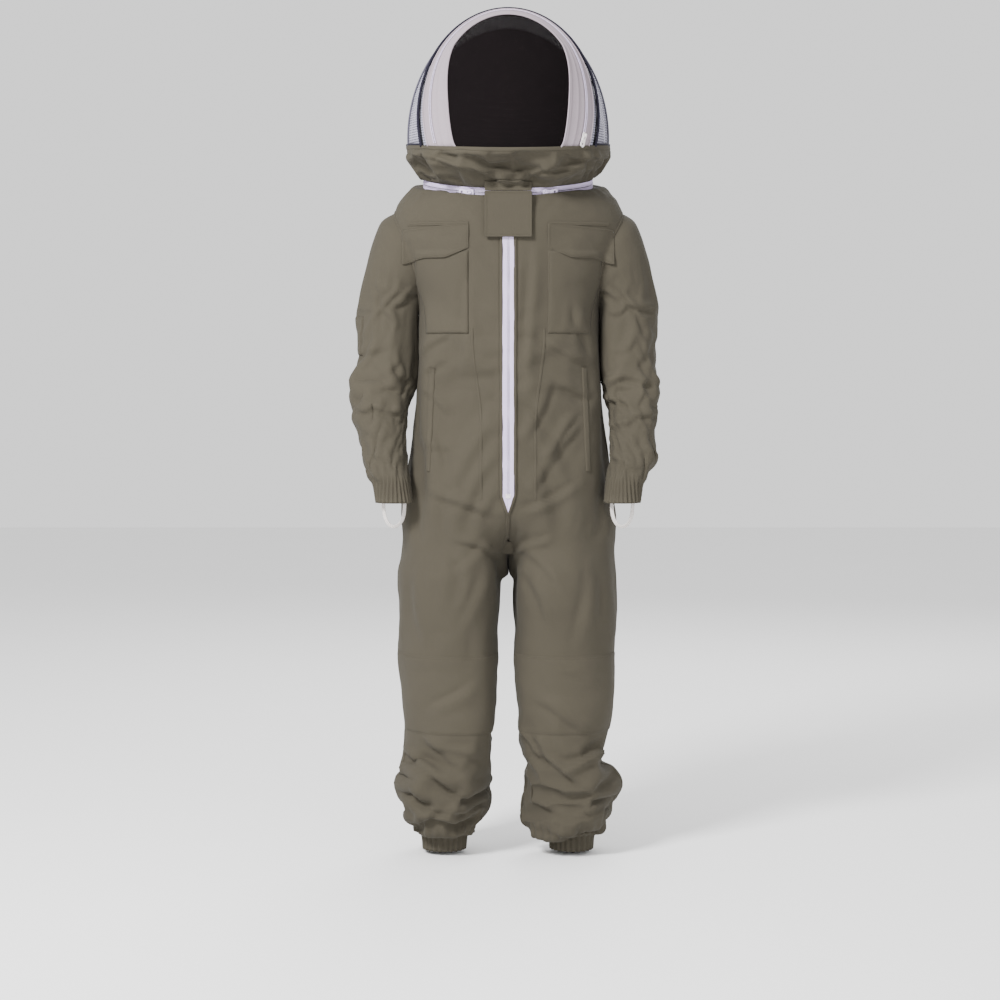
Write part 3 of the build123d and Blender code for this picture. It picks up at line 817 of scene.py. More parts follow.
BACK_CREASES = [
    (-150, -250, -70, -330, 12, 3.0), (150, -250, 70, -330, 12, 3.0),
    (-120, -360, -20, -388, 10, 3.0), (120, -360, 20, -388, 10, 3.0),
    (-130, -446, -30, -470, 11, 3.0), (130, -446, 30, -470, 11, 3.0),
    (-150, -600, -20, -668, 12, 4.2), (150, -600, 20, -668, 12, 4.2),
    (-60, -720, -150, -770, 12, 3.0), (60, -720, 150, -770, 12, 3.0),
    (-50, -870, -160, -905, 11, 3.6), (50, -862, 160, -900, 11, 3.6),
    (-60, -150, -90, -330, 14, 2.2), (70, -150, 96, -330, 14, 2.2),
    (-160, -940, -60, -968, 11, 3.2), (160, -950, 60, -975, 11, 3.2),
]
SLEEVE_CREASES = [
    (-284, -396, -246, -386, 8, 5.5), (-252, -386, -192, -400, 8, 6.0),
    (-208, -300, -178, -348, 8, 5.0), (-242, -160, -222, -212, 9, 4.5),
    (-224, -208, -204, -246, 9, 4.5), (-220, -198, -182, -190, 9, 4.0),
    (-298, -300, -218, -268, 11, 3.0), (-272, -478, -230, -528, 7, 4.0),
    (-250, -470, -196, -500, 8, 3.0), (-280, -430, -214, -446, 12, 2.2),
    (188, -218, 222, -202, 8, 5.0), (218, -202, 274, -200, 9, 5.5), (164, -350, 214, -334, 9, 5.5),
    (212, -334, 282, -340, 9, 5.5), (164, -366, 226, -384, 8, 5.5), (186, -430, 232, -408, 8, 6.0),
    (230, -408, 284, -396, 8, 5.5), (200, -292, 234, -262, 9, 3.5), (232, -314, 272, -246, 11, 3.5),
    (190, -474, 232, -504, 8, 4.5), (252, -446, 274, -490, 8, 4.0),
]
SKIRT_CREASES = [
    (-166, 66, -60, 42, 5, 5.0), (-70, 44, 30, 17, 5, 5.5), (14, 27, 92, 42, 5, 5.0),
    (86, 40, 160, 52, 5, 4.5), (-150, 40, -90, 28, 5, 3.5), (-30, 60, 70, 66, 8, 3.0),
    (100, 70, 172, 62, 6, 3.5), (-120, 76, -40, 66, 7, 2.5),
]
# Where the cloth puffs out: x, z, reach and height.
PUFFS = [
    (-188, -1088, 40, 9), (-50, -1100, 24, 6), (196, -1104, 24, 10), (36, -1110, 60, -17),
    (186, -1165, 18, 4), (272, -484, 26, 9), (-300, -390, 75, 13), (-258, -508, 22, 4),
    (-176, -310, 55, 3), (176, -310, 55, 3),
]


def mirrored(creases):
    return [(-a, b, -c, d, e, f) for a, b, c, d, e, f in creases]


def creased(co, normals, creases, facing, gain=1.0):
    """Presses folds into cloth: a soft ridge beside a tight valley along each line."""
    move = np.zeros(len(co))
    seen = smooth(0.05, 0.45, normals[:, 1] * facing)
    for x0, z0, x1, z1, width, depth in creases:
        along = np.array((x1 - x0, z1 - z0), float)
        size = np.linalg.norm(along)
        along /= size
        rel = np.stack([co[:, 0] - x0, co[:, 2] - z0], 1)
        t = rel @ along / size
        wander = 3.0 * np.sin(t * 5 + x0)
        d = rel @ np.array((-along[1], along[0])) + wander
        ends = smooth(-0.18, 0.25, t) * (1 - smooth(0.70, 1.15, t))
        ridge_part = np.exp(-((d / width) ** 2))
        valley = np.exp(-(((d + 1.15 * width) / (0.55 * width)) ** 2))
        move += depth * gain * ends * (ridge_part - 0.85 * valley)
    return co + normals * (move * seen)[:, None]


def sculpted(piece, co, folds, crumple, seed):
    """Adds puffs, folds and, all over, the small dents and ridges of worn cotton."""
    up = taken(piece, "normal")
    move = np.zeros(len(co))
    for x, z, reach, height in PUFFS:
        move += height * np.exp(-((co[:, 0] - x) ** 2 + (co[:, 2] - z) ** 2) / reach ** 2)
    co = co + up * move[:, None]
    for creases, facing, gain in folds:
        co = creased(co, up, creases, facing, gain)
    sharp = (1 - np.abs(soft_noise(co * (1.0, 1.0, 0.6), 17, seed, 3)) * 2.2).clip(0, 1) ** 2
    return co + up * (crumple * (sharp - 0.3))[:, None]


COVERALL_FOLDS = ((CREASES, -1, 1.5), (ANKLE_CREASES, -1, 1.0), (mirrored(ANKLE_CREASES), 1, 1.0),
                  (BACK_CREASES, 1, 1.25))
SLEEVE_FOLDS = ((SLEEVE_CREASES, -1, 0.85), (mirrored(SLEEVE_CREASES), 1, 0.7))

halves = settled_coverall()
coveralls = []
for (side, word), grid in zip(SIDES, halves):
    piece = sheet_from(f"coverall_{word}", grid, 12.5, STEP, middle=(side * 60, 0, -500))
    plain = gathered(taken(piece), (side * 121, 4), -1232, -1186, 24, 2.4, 40 + side)
    co = sculpted(piece, plain, COVERALL_FOLDS, 0.9, 70 + side)
    # Nothing is pressed into the cloth beside the front zip, where its slider runs.
    x, y, z = plain.T
    beside = (y < 0) * (1 - smooth(18, 32, np.abs(x))) * smooth(-625, -600, z)
    given(piece, co + (plain - co) * beside[:, None])
    coveralls.append(piece)
trunk_tree = surface_of(*coveralls)


def settled_sleeve(side):
    """Settles one sleeve over an arm, from inside the armhole to the gathered cuff."""
    cols = 56
    rows, pts = sleeve_grid(9.0, cols)
    pts = pts * (side, 1, 1)
    pins, growth = [], np.zeros(len(pts))
    for i in range(rows):
        ring = range(i * cols, (i + 1) * cols)
        x, _, z = pts[ring].mean(0)
        elbow = 0.045 * smooth(-300, -340, z) * (1 - smooth(-400, -440, z))
        wrist = 0.12 * smooth(-430, -480, z) * (1 - smooth(-516, -526, z))
        growth[ring] = 0.012 + 0.01 * smooth(-190, -230, z) + elbow + wrist
        if abs(pts[ring][:, 0]).min() < 165 and abs(x) < 206 or z < -528:
            pins += ring
    out = unit(pts - np.repeat(pts.reshape(-1, cols, 3).mean(1), cols, 0), 1e-6)
    ripple = soft_noise(pts, 30, 11 + side) * 2.4
    ripple[pins] = 0
    co = settled(pts + out * ripple[:, None], grid_faces(rows, cols, True), growth, pins, 34,
                 lambda: arm_form(side))
    return co.reshape(rows, cols, 3)


def trimmed(ob, tree, depth):
    """Removes the faces by the armhole that lie deeper than this inside another cloth."""
    with editing(ob) as bm:
        near = [v for v in bm.verts if v.co.z > -0.26 and abs(v.co.x) > 0.12]
        deep = {v.index for v in near if depth_in(tree, np.array(v.co) / MM) > depth}
        gone = [f for f in bm.faces if all(v.index in deep for v in f.verts)]
        bmesh.ops.delete(bm, geom=gone, context="FACES")


sleeves, armholes = [], []
for side, word in SIDES:
    grid = settled_sleeve(side)
    for p in grid.reshape(-1, 3):
        # Below the armpit the sleeve hangs beside the trunk, clear of it.
        if p[2] < -215 and abs(p[0]) < 200:
            inside = depth_in(trunk_tree, p)
            if inside > -2:
                p += nearest(trunk_tree, p)[1] * (inside + 2)
    edge = []
    for j in range(grid.shape[1]):
        column = [depth_in(trunk_tree, p) for p in grid[:30, j]]
        i = max((i for i, d in enumerate(column) if d > 0), default=0)
        t = column[i] / (column[i] - column[i + 1] + 1e-9)
        edge.append(grid[i, j] * (1 - t) + grid[i + 1, j] * t)
    armholes.append(edge + edge[:1])
    piece = sheet_from(f"sleeve_cloth_{word}", grid, 6.6, 9.0, closed=True,
                       middle=(side * 225, 0, -330))
    co = gathered(taken(piece), (side * 212, -83), -570, -530, 26, 1.9, 50 + side)
    given(piece, sculpted(piece, co, SLEEVE_FOLDS, 0.35, 80 + side))
    sleeves.append(piece)
for sleeve, cloth in zip(sleeves, coveralls):
    sleeve_tree = surface_of(sleeve)
    trimmed(sleeve, trunk_tree, 9.0)
    trimmed(cloth, sleeve_tree, 11.0)


# ---------------------------------------------------------------- pockets and patches
def round_leg(side, angle, z):
    """A ray at the leg's axis from outside; angle 0 is the front and positive is outwards."""
    _, x, _, _, y, _ = row_at(LEG, z)
    way = np.array((-side * math.sin(angle), math.cos(angle), 0))
    reach = 200.0 if angle >= 0 else min(200.0, (x - 3) / max(1e-3, -math.sin(angle)))
    return np.array((side * x, y, z)) - way * reach, way


def round_arm(side, angle, z):
    """A ray at the arm's axis from outside; angle 0 is outwards and positive is the front."""
    x, y = (np.interp(z, SLEEVE[::-1, 2], SLEEVE[::-1, i]) for i in (0, 1))
    way = np.array((-side * math.cos(angle), math.sin(angle), 0))
    return np.array((side * x, y, z)) - way * 120, way


def edge_fall(u, v, size, turn=2.5):
    """1 inside a sheet, falling to 0 in its last few millimetres, where the edge turns under."""
    d = min(u * size[0], (1 - u) * size[0], v * size[1], (1 - v) * size[1])
    return min(1.0, (d / turn)) ** 0.5 if d < turn else 1.0


def patch(name, tree, aim, size, low, puff, seed, step=4.0):
    """A sewn-on patch: close to the cloth at its edge, standing off a little in the middle."""
    def lift(u, v):
        belly = math.sin(math.pi * u) ** 0.6 * math.sin(math.pi * min(1, v * 0.96 + 0.04)) ** 0.6
        crease = noise_at(u * size[0], v * size[1], 0.0, 16, seed)
        return 0.2 + edge_fall(u, v, size) * low + belly * puff * (1 + 0.6 * crease)

    grid = laid_grid(tree, int(size[1] / step), int(size[0] / step), aim, lift)
    return sheet_from(name, grid, step, step, finer=False)


def border(tree, aim, size, inset, lift, skip_top=False, count=26):
    """Stitch lines parallel to the edges of a patch."""
    a, b = inset / size[0], inset / size[1]
    corners = [(a, b), (a, 1 - b), (1 - a, 1 - b), (1 - a, b), (a, b)][:4 if skip_top else 5]
    lines = []
    for (u0, v0), (u1, v1) in zip(corners, corners[1:]):
        pts = all_struck(tree, [aim(u0 + (u1 - u0) * t, v0 + (v1 - v0) * t)
                                for t in np.linspace(0, 1, count)])
        if len(pts) > 3:
            lines.append(dashes(pts, tree, lift))
    return lines


# Inner and outer x, lower and upper z.
POCKET = (72, 172, -256, -104)
FLAP = (72, 196, -117, -54)
POCKET_SIZE, FLAP_SIZE, KNEE_SIZE, ARM_POCKET_SIZE = (100, 152), (110, 69), (250, 150), (72, 74)


def flap_place(u, v):
    """The flap's outline: its inner lower corner is cut off, and it is hinged along its top."""
    near, far, low, high = FLAP
    x = near + (far - near) * u
    cut = 18 * max(0.0, 1 - (x - near) / 44.0) - 11 * smooth(150, near + 124, x)
    slope = 11 * (x - near) / (far - near)
    return x, high - slope + (low - high + cut + slope) * v


suit_lines = []
for side, word in SIDES:
    def pocket_aim(u, v, side=side):
        near, far, low, high = POCKET
        z = high + (low - high) * v
        outer = min(far, float(row_at(TRUNK, z)[1]) - 5)
        return from_front(side * (near + (outer - near) * u), z)

    pocket = patch(f"pocket_bag_{word}", trunk_tree, pocket_aim, POCKET_SIZE, 1.5, 4.0, 20 + side)
    thickened(pocket, 0.9)
    worn(pocket, "suit", COTTON, f"chest_pocket_{word}", flat=(0.108, 0.162),
         rests_on=[f"coverall_{word}"])
    suit_lines += border(surface_of(pocket), pocket_aim, POCKET_SIZE, 3.0, 0.4, True)
    under_flap = surface_of(*coveralls, *sleeves, pocket)
    crumple = 1.0 if side > 0 else 0.35

    def flap_point(u, v):
        x, z = flap_place(u, v)
        hit = struck(under_flap, *from_front(side * x, z))
        fold = noise_at(x, 0, z * 1.4, 11, 60 + side) * 5.0 * crumple
        stand = 1.2 + 2.2 * v + max(-0.8, fold) * smooth(0, 0.35, v)
        near_edge = max(0.0, 1 - (x - FLAP[0]) / 46.0)
        stand += 5.0 * crumple * near_edge * v * math.sin(3.6 * v + 1.2)
        return side * x, (hit[1] if hit is not None else -120.0) - stand, z

    def flap_aim(u, v, side=side):
        x, z = flap_place(u, v)
        return from_front(side * x, z)

    flap = sheet_from(f"flap_cloth_{word}", grid_of(18, 28, flap_point), 4.0, 4.0)
    flap_tree = surface_of(flap)
    thickened(flap, 1.3)
    worn(flap, f"pocket_flap_{word}", COTTON, f"pocket_flap_{word}", flat=(0.130, 0.078),
         held="hung", rests_on=[f"pocket_bag_{word}"])
    stitching(f"flap_stitching_{word}", f"pocket_flap_{word}",
              border(flap_tree, flap_aim, FLAP_SIZE, 4.0, 0.35))

for side, word in SIDES:
    path = all_struck(trunk_tree, [from_front(side * x, -55.0)
                                   for x in np.linspace(FLAP[0], FLAP[1] - 12, 24)])
    header = seam(f"flap_header_{word}", "suit", trunk_tree, path, 7.0, 1.5, 5.0)
    suit_lines.append(dashes(path, trunk_tree, 1.8))
    path = all_struck(trunk_tree, [from_front(side * (140 + 8 * t), -318 - 190 * t)
                                   for t in np.linspace(0, 1, 30)])
    welt = seam(f"hip_welt_{word}", "suit", trunk_tree, path, 12.0, 1.9)
    if side > 0:
        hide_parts("flap_header")
        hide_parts("hip_pocket_welt")

for side, word in SIDES:
    def knee_aim(u, v, side=side):
        return round_leg(side, math.radians(-72 + 156 * u), -850 - 150 * v)

    knee = patch(f"knee_cloth_{word}", trunk_tree, knee_aim, KNEE_SIZE, 1.5, 0.5, 30 + side, 5.0)
    mark_wear(knee, 0.5 * fading(taken(knee)[:, 2], -930, 60))
    worn(knee, f"leg_{word}", COTTON, f"knee_patch_{word}", flat=(0.27, 0.16),
         rests_on=[f"coverall_{word}"])
    stitching(f"knee_stitching_{word}", f"leg_{word}",
              border(surface_of(knee), knee_aim, KNEE_SIZE, 4.0, 0.4, count=60))


def arm_pocket_aim(u, v):
    return round_arm(-1, math.radians(-34 + 68 * u), -222 - 74 * v)


arm_pocket = patch("arm_pocket", surface_of(sleeves[1]), arm_pocket_aim, ARM_POCKET_SIZE, 1.3, 1.4,
                   77)
thickened(arm_pocket, 0.9)
worn(arm_pocket, "sleeve_right", COTTON, "sleeve_pocket", flat=(0.080, 0.085),
     rests_on=["sleeve_cloth_right"])
stitching("arm_pocket_stitching", "sleeve_right",
          border(surface_of(arm_pocket), arm_pocket_aim, ARM_POCKET_SIZE, 3.5, 0.4))

# ---------------------------------------------------------------- seams of the coverall
for (side, word), grid, armhole in zip(SIDES, halves, armholes):
    side_seam = seam(f"side_seam_{word}", None, trunk_tree, grid[12:-5, COLS // 2], 8.0, 1.0, 9.0)
    over_hip(side_seam, side, word)
    seam(f"armhole_seam_{word}", "suit", trunk_tree, armhole, 9.0, 1.3, 6.0)
    dart = all_struck(trunk_tree, [from_front(side * (66 - 16 * smooth(-260, -420, z)), z)
                                   for z in np.linspace(-246, -560, 60)])
    seam(f"front_dart_{word}", "suit", trunk_tree, dart, 5.0, 0.9)

yoke = all_struck(trunk_tree, [from_front(x, -116 + 10 * (x / 205) ** 2, back=True)
                               for x in np.linspace(-205, 205, 80)])
seam("yoke_seam", "suit", trunk_tree, yoke, 8.0, 1.2)
suit_lines.append(dashes(np.array(yoke) + (0, 0, 3), trunk_tree, 0.9))


def waist_aim(u, v):
    angle = math.radians(-80 + 160 * u)
    way = np.array((-math.sin(angle), -math.cos(angle), 0))
    return np.array((0, 0, -394.0 - 38 * v)) - way * 330, way


def waist_lift(u, v):
    gathers = 1.3 * math.sin(u * 150) * math.sin(math.pi * v)
    return 0.3 + (1.5 + gathers) * edge_fall(u, v, (420, 38), 4)


waist = sheet_from("waist_channel", laid_grid(trunk_tree, 8, 150, waist_aim, waist_lift), 2.8, 5.4)
worn(waist, "suit", COTTON, "waist_elastic", flat=(0.40, 0.042), held="gathered",
     rests_on=["coverall_left", "coverall_right"])

# ---------------------------------------------------------------- front and neck zips
ZIP_HALF, ZIP_TOP, ZIP_POINT, ZIP_END = 10.5, -14.0, -552.0, -582.0


def zip_half(z):
    """Half the width of white tape that shows at a height."""
    return ZIP_HALF if z > ZIP_POINT else ZIP_HALF * (z - ZIP_END) / (ZIP_POINT - ZIP_END)


def front_y(z):
    """The foremost cloth at a height, within the zip tape's width."""
    found = all_struck(trunk_tree, [from_front(x, z + e) for x in (-11, -5, 0, 5, 11)
                                    for e in (-4, 0, 4)])
    return min([hit[1] for hit in found] or [-131.0])


def tape_point(share, z):
    wave = 0.35 * math.sin(z / 17 + 2.0 * share) + 0.25 * math.sin(z / 7.3)
    groove = 0.0 if share else 0.9
    return share * max(0.4, zip_half(z)), front_y(z) - 1.5 - wave + groove, z


heights = [*np.linspace(ZIP_TOP, ZIP_POINT, 92), *np.linspace(ZIP_POINT - 4, ZIP_END, 8)]
shares = (-1, -0.75, -0.5, -0.2, 0, 0.2, 0.5, 0.75, 1)
grid = np.array([[tape_point(share, z) for share in shares] for z in heights], float)
tape = sheet_from("front_zip_tape_cloth", grid, 2.6, 6.0, TAPE_WHITE)
worn(tape, "suit", TAPE_SLOT, "front_zip_tape", flat=(0.030, 0.60), area=0.0125,
     rests_on=["coverall_left", "coverall_right"])
rails = [[(s * 1.4, front_y(z) - 1.3, z) for z in np.linspace(ZIP_TOP, ZIP_POINT - 6, 120)]
         for s in (-1, 1)]
teeth("front_zip_coil", "suit", "front_zip_teeth", rails, lambda p: np.array((0, -1.0, 0)), 2.3)
for side, word in SIDES:
    path = [np.array((side * (zip_half(z) + 2.2), front_y(z), z))
            for z in np.linspace(ZIP_TOP - 3, ZIP_END - 4, 110)]
    seam(f"zip_facing_{word}", "suit", trunk_tree, path, 6.0, 2.6, 6.0)
    suit_lines.append(dashes(np.array(path) + (side * 5.0, 0, 0), trunk_tree, 0.5))
path = [(0.0, front_y(z), z) for z in np.linspace(ZIP_END, CROTCH_Z + 6, 20)]
seam("crotch_seam", "suit", trunk_tree, path, 6.0, 1.2)

# Each half's body, upper and lower edge of its tape, and its coil's height over the neckline.
for half, body, high, low, coil_height in (("lower", "suit", -0.5, -9.5, -1.4),
                                           ("upper", "hood", 9.0, 0.5, 1.4)):
    rows, cols = 6, 180
    grid = np.zeros((rows, cols, 3))
    for j in range(cols):
        turn = j / cols
        u = 2 * turn if turn < 0.5 else 2 - 2 * turn
        for i in range(rows):
            down = i / (rows - 1)
            wave = 0.35 * math.sin(j * 0.9) * math.sin(math.pi * down)
            p = neck_point(u, high + (low - high) * down, 2.0 + wave)
            grid[i, j] = p if turn < 0.5 else p * MIRROR_X
    ob = sheet_from(f"neck_zip_{half}", grid, 5.0, 1.8, TAPE_WHITE, True, (0, 0, 26))
    worn(ob, body, TAPE_SLOT, f"neck_zip_tape_{half}", flat=(0.90, 0.010))
    ring = [neck_point(u, coil_height, 2.1) for u in np.linspace(0, 1, 90)]
    ring += [p * MIRROR_X for p in ring[::-1]]
    teeth(f"neck_zip_{half}_coil", body, f"neck_zip_teeth_{half}", [ring],
          lambda p: unit(p - NECK_ORIGIN), 2.2)


# ---------------------------------------------------------------- hood
def dome_half_width(y, z, grow=0.0):
    """Half width of the dome at a depth and height; None outside it."""
    up = max(0.0, z - HOOD_Z) / (HOOD_H + grow)
    square = (HOOD_R + grow) ** 2 * (1 - up * up) - (y - HOOD_Y) ** 2
    return math.sqrt(square) if square > 0 else None


def arch_y(arch, z):
    y0, lean, bow = arch
    return y0 + lean * (z - 100) - bow * math.sin(math.pi * min(1, max(0, (z - 85) / 185)))


def arch_top(arch, grow=0.0):
    """The height at which a leaning arch plane meets the top of the dome."""
    low, high = HOOD_Z, HOOD_Z + HOOD_H + grow
    for _ in range(40):
        mid = (low + high) / 2
        if dome_half_width(arch_y(arch, mid), mid, grow) is None:
            high = mid
        else:
            low = mid
    return low


def arch_points(arch, grow, count, foot, start=-1.0, end=1.0):
    """Points over the dome along an arch plane, from one foot (-1) over the top to the other."""
    top = arch_top(arch, grow)
    out = []
    for t in np.linspace(start, end, count):
        z = foot + (top - foot) * math.cos(math.pi / 2 * t)
        y = arch_y(arch, z)
        out.append((math.copysign(1, t) * (dome_half_width(y, z, grow) or 0.0) if t else 0.0, y, z))
    return np.array(out)


def rim_z(angle):
    """The skirt's upper edge: low in front, higher at the sides and back."""
    return RIM_Z - 9 * math.cos(angle) + 9 * math.sin(angle) ** 2


def rim_point(angle, grow, rise):
    """A place on the skirt's upper edge, or beside it; angle 0 is the front."""
    radius = HOOD_R + grow
    return radius * math.sin(angle), HOOD_Y - radius * math.cos(angle), rim_z(angle) + rise


def arch_foot(arch):
    """Where an arch meets the skirt's upper edge."""
    return rim_z(math.acos(min(1.0, (HOOD_Y - arch_y(arch, 88.0)) / HOOD_R))) - 2.0


def hood_cloth(name, arches, cross, count, profile, material, start=-1.0, end=1.0, foot=74.0,
               finer=True, across=2.0, along=6.0):
    """A strip of the hood between two arches; profile(s) is its height over the dome."""
    first, last = np.array(arches[0], float), np.array(arches[1], float)
    grid = np.array([arch_points(first + (last - first) * s, profile(s), count, foot, start, end)
                     for s in np.linspace(0, 1, cross)])
    for p in grid.reshape(-1, 3):
        # Its lower edge is tucked behind the skirt.
        if p[2] < rim_z(math.atan2(abs(p[0]), HOOD_Y - p[1])) - 1.5:
            p[:2] = (p[0] * 0.975, HOOD_Y + (p[1] - HOOD_Y) * 0.975)
    return sheet_from(name, grid, along, across, material, middle=(0, -15, 120), finer=finer)


# Folds along the two bands: place across, width and height.
FRONT_FOLDS = ((0.05, 0.07, 1.8), (0.5, 0.06, 0.9), (0.86, 0.08, 0.9))
REAR_FOLDS = ((0.12, 0.06, 0.9), (0.40, 0.05, 1.1), (0.62, 0.05, 0.7))
for name, arches, cross, cut, folds in (("front", (FACE, ZIP), 17, 0.030, FRONT_FOLDS),
                                        ("rear", (ZIP, BAND_END), 19, 0.020, REAR_FOLDS)):
    def band_profile(s, folds=folds):
        height = 0.3
        for at, width, rise in folds:
            height += rise * math.exp(-((s - at) / width) ** 2)
        return height

    band = hood_cloth(f"arch_{name}_cloth", arches, cross, 90, band_profile, BAND_WHITE)
    thickened(band, 0.8)
    worn(band, "hood", "white_binding", f"hood_arch_band_{name}", flat=(0.76, cut),
         held="stretched")


def slack_net(s):
    return -0.6 - 3.2 * math.sin(math.pi * (s % 0.5) * 2)


for (side, word), (start, end) in zip(SIDES, ((0.0, 1.0), (-1.0, 0.0))):
    net = hood_cloth(f"side_net_{word}", (BAND_END, BACK), 41, 56, slack_net, WHITE_NET, start, end,
                     86.0, False, 4.0, 6.5)
    worn(net, "hood", "white_mesh", f"hood_side_mesh_{word}", flat=(0.36, 0.24), held="stretched",
         area=0.045)


def dome_rows(arch, foot, rows, cols, point):
    """Rows of point(s, v, y, z, squared share of the radius) from a foot to an arch's top."""
    grid = []
    for s in np.linspace(0, 1, rows):
        z = foot + (arch_top(arch) - (foot + 0.5)) * math.sin(math.pi / 2 * s)
        up = max(0.0, z - HOOD_Z) / HOOD_H
        grid.append([point(s, v, arch_y(arch, z), z, 1 - up * up)
                     for v in np.linspace(-1, 1, cols)])
    return np.array(grid, float)


def window_point(s, v, y, z, narrowing):
    x = ((dome_half_width(y, z) or 0.2) + 0.5) * v
    y = HOOD_Y - math.sqrt(max(0.0, HOOD_R ** 2 * narrowing - x * x))
    tight = 2.6 * math.sin(math.pi * (v + 1) / 2) * math.sin(math.pi * s)
    return x * 0.998, max(y + 0.8 + tight, y), z


def back_point(s, v, y, z, narrowing):
    """Equal steps of angle round the dome keep the back round."""
    radius = HOOD_R * math.sqrt(max(0.0, narrowing))
    a = v * math.acos(min(1.0, max(-1.0, (y - HOOD_Y) / max(radius, 1e-6))))
    radius += 1.4 * noise_at(radius * a, 0.0, z, 24, 91)
    return radius * math.sin(a), HOOD_Y + radius * math.cos(a), z


window = sheet_from("face_net", dome_rows(FACE, 73, 50, 45, window_point), 5.0, 5.5, BLACK_NET,
                    middle=(0, 60, 150), finer=False)
worn(window, "hood", "black_mesh", "hood_face_mesh", flat=(0.25, 0.33), held="stretched",
     area=0.066)
back = sheet_from("hood_back_cloth", dome_rows(BACK, 84, 40, 61, back_point), 6.0, 6.0,
                  middle=(0, -60, 150))
thickened(back, 0.9)
worn(back, "hood", COTTON, "hood_back_panel", flat=(0.50, 0.33), held="stretched", area=0.095)

for name, arch, radius, material in (
        ("arch_piping", PIPED, 2.8, BLACK_TAPE), ("hoop_piping", HOOP, 1.6, GREY_TAPE),
        ("band_piping", BAND_END, 1.5, BAND_WHITE), ("back_piping", BACK, 1.8, KHAKI),
        ("face_piping", FACE, 1.6, BAND_WHITE)):
    tube(name, arch_points(arch, radius * 0.5, 120, arch_foot(arch)), radius, material)

rails = [arch_points((ZIP[0] + s * 1.5, *ZIP[1:]), 1.6, 160, 88.0) for s in (-1, 1)]
teeth("hood_zip_coil", "hood", "hood_zip_teeth", rails, lambda p: unit(p - (0, HOOD_Y, 90)), 2.4)


# Skirt: it bulges at the rim and folds over the neck zip.
def skirt_profile(angle):
    """Points from the rim to the neck zip at an angle from the front."""
    # The waist of the skirt is all but level.
    tilt = math.sin(math.radians(NECK_TILT * 0.7))
    u = angle / math.pi if angle <= math.pi else 2 - angle / math.pi
    low = neck_point(u, 8.5, 2.4) * (MIRROR_X if angle > math.pi else 1)
    waist = (174 * math.sin(angle), -12 - 150 * math.cos(angle), 50 - 150 * math.cos(angle) * tilt)
    x, y, _ = rim_point(angle, 1.5, 0)
    return np.array([rim_point(angle, 0.9, 0), (x, y, min(rim_z(angle) - 7, 76)), waist, low])


SKIRT_ROWS, SKIRT_COLS = 13, 150
grid = np.zeros((SKIRT_ROWS, SKIRT_COLS, 3))
for j in range(SKIRT_COLS):
    prof = skirt_profile(2 * math.pi * j / SKIRT_COLS)
    run = path_run(prof)
    for i, d in enumerate(np.linspace(0, run[-1], SKIRT_ROWS)):
        grid[i, j] = [np.interp(d, run, prof[:, k]) for k in range(3)]
pts = grid.reshape(-1, 3)
out = pts * (1, 1, 0) - (0, HOOD_Y, 0)
out /= np.linalg.norm(out, axis=1)[:, None]
fold = soft_noise(pts * (0.45, 0.45, 1.3), 11, 5) * 7 + soft_noise(pts, 20, 6) * 3
for x0, z0, x1, z1, depth in ((-165, 66, 15, 26, 9), (165, 62, 20, 30, 9), (-120, 40, -10, 22, 6)):
    line = z0 + (z1 - z0) * np.clip((pts[:, 0] - x0) / (x1 - x0), 0, 1)
    ends = smooth(min(x0, x1) - 25, min(x0, x1) + 10, pts[:, 0]) * (
        1 - smooth(max(x0, x1) - 10, max(x0, x1) + 25, pts[:, 0]))
    fold += depth * ends * np.exp(-(((pts[:, 2] - line) / 8) ** 2)) * (pts[:, 1] < 0)
edge = [i * SKIRT_COLS + j for i in (0, 1, SKIRT_ROWS - 1) for j in range(SKIRT_COLS)]
fold[edge] = 0
growth = 0.17 * np.ones(len(pts)) * smooth(80, 68, pts[:, 2]) + 0.02
co = settled(pts + out * fold[:, None], grid_faces(SKIRT_ROWS, SKIRT_COLS, True), growth, edge, 26)
skirt = sheet_from("hood_skirt_cloth", co.reshape(grid.shape), 7.6, 6.0, closed=True,
                   middle=(0, HOOD_Y, 50))
up = taken(skirt, "normal")
co = creased(taken(skirt), up, SKIRT_CREASES, -1)
co = creased(co, up, SKIRT_CREASES, 1)
# The rim hoop is inside the skirt, so the cloth stays outside it where it passes.
hoop_low, hoop_high = (np.array(c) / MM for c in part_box("hood_rim_hoop"))
hoop_radius = (hoop_high[0] - hoop_low[0]) / 2 + 1.6
from_axis = co[:, :2] - (0, HOOD_Y)
distance = np.linalg.norm(from_axis, axis=1)
level = smooth(hoop_low[2] - 12, hoop_low[2] - 2, co[:, 2])
grow = 1 + level * np.maximum(0, hoop_radius / distance - 1)
co[:, :2] = (0, HOOD_Y) + from_axis * grow[:, None]
given(skirt, co)
skirt_tree = surface_of(skirt)
thickened(skirt, 1.1)
worn(skirt, "hood", COTTON, "hood_skirt", flat=(1.24, 0.090), held="gathered")

ring = [rim_point(a, 1.0, -3) for a in np.linspace(0, 2 * math.pi, 160)]
seam("rim_binding", "hood", skirt_tree, ring, 9.0, 1.1)
for side, word in SIDES:
    ring = np.array([rim_point(a, 0.4, 1.6) for a in np.linspace(1.02, 1.86, 40)])
    tube(f"rim_piping_{word}", ring * (side, 1, 1), 1.9, BLACK_TAPE)

# ---------------------------------------------------------------- throat patch
lo, hi = (np.array(c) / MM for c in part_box("throat_patch"))
PATCH_SIZE = (hi[0] - lo[0], hi[2] - lo[2])


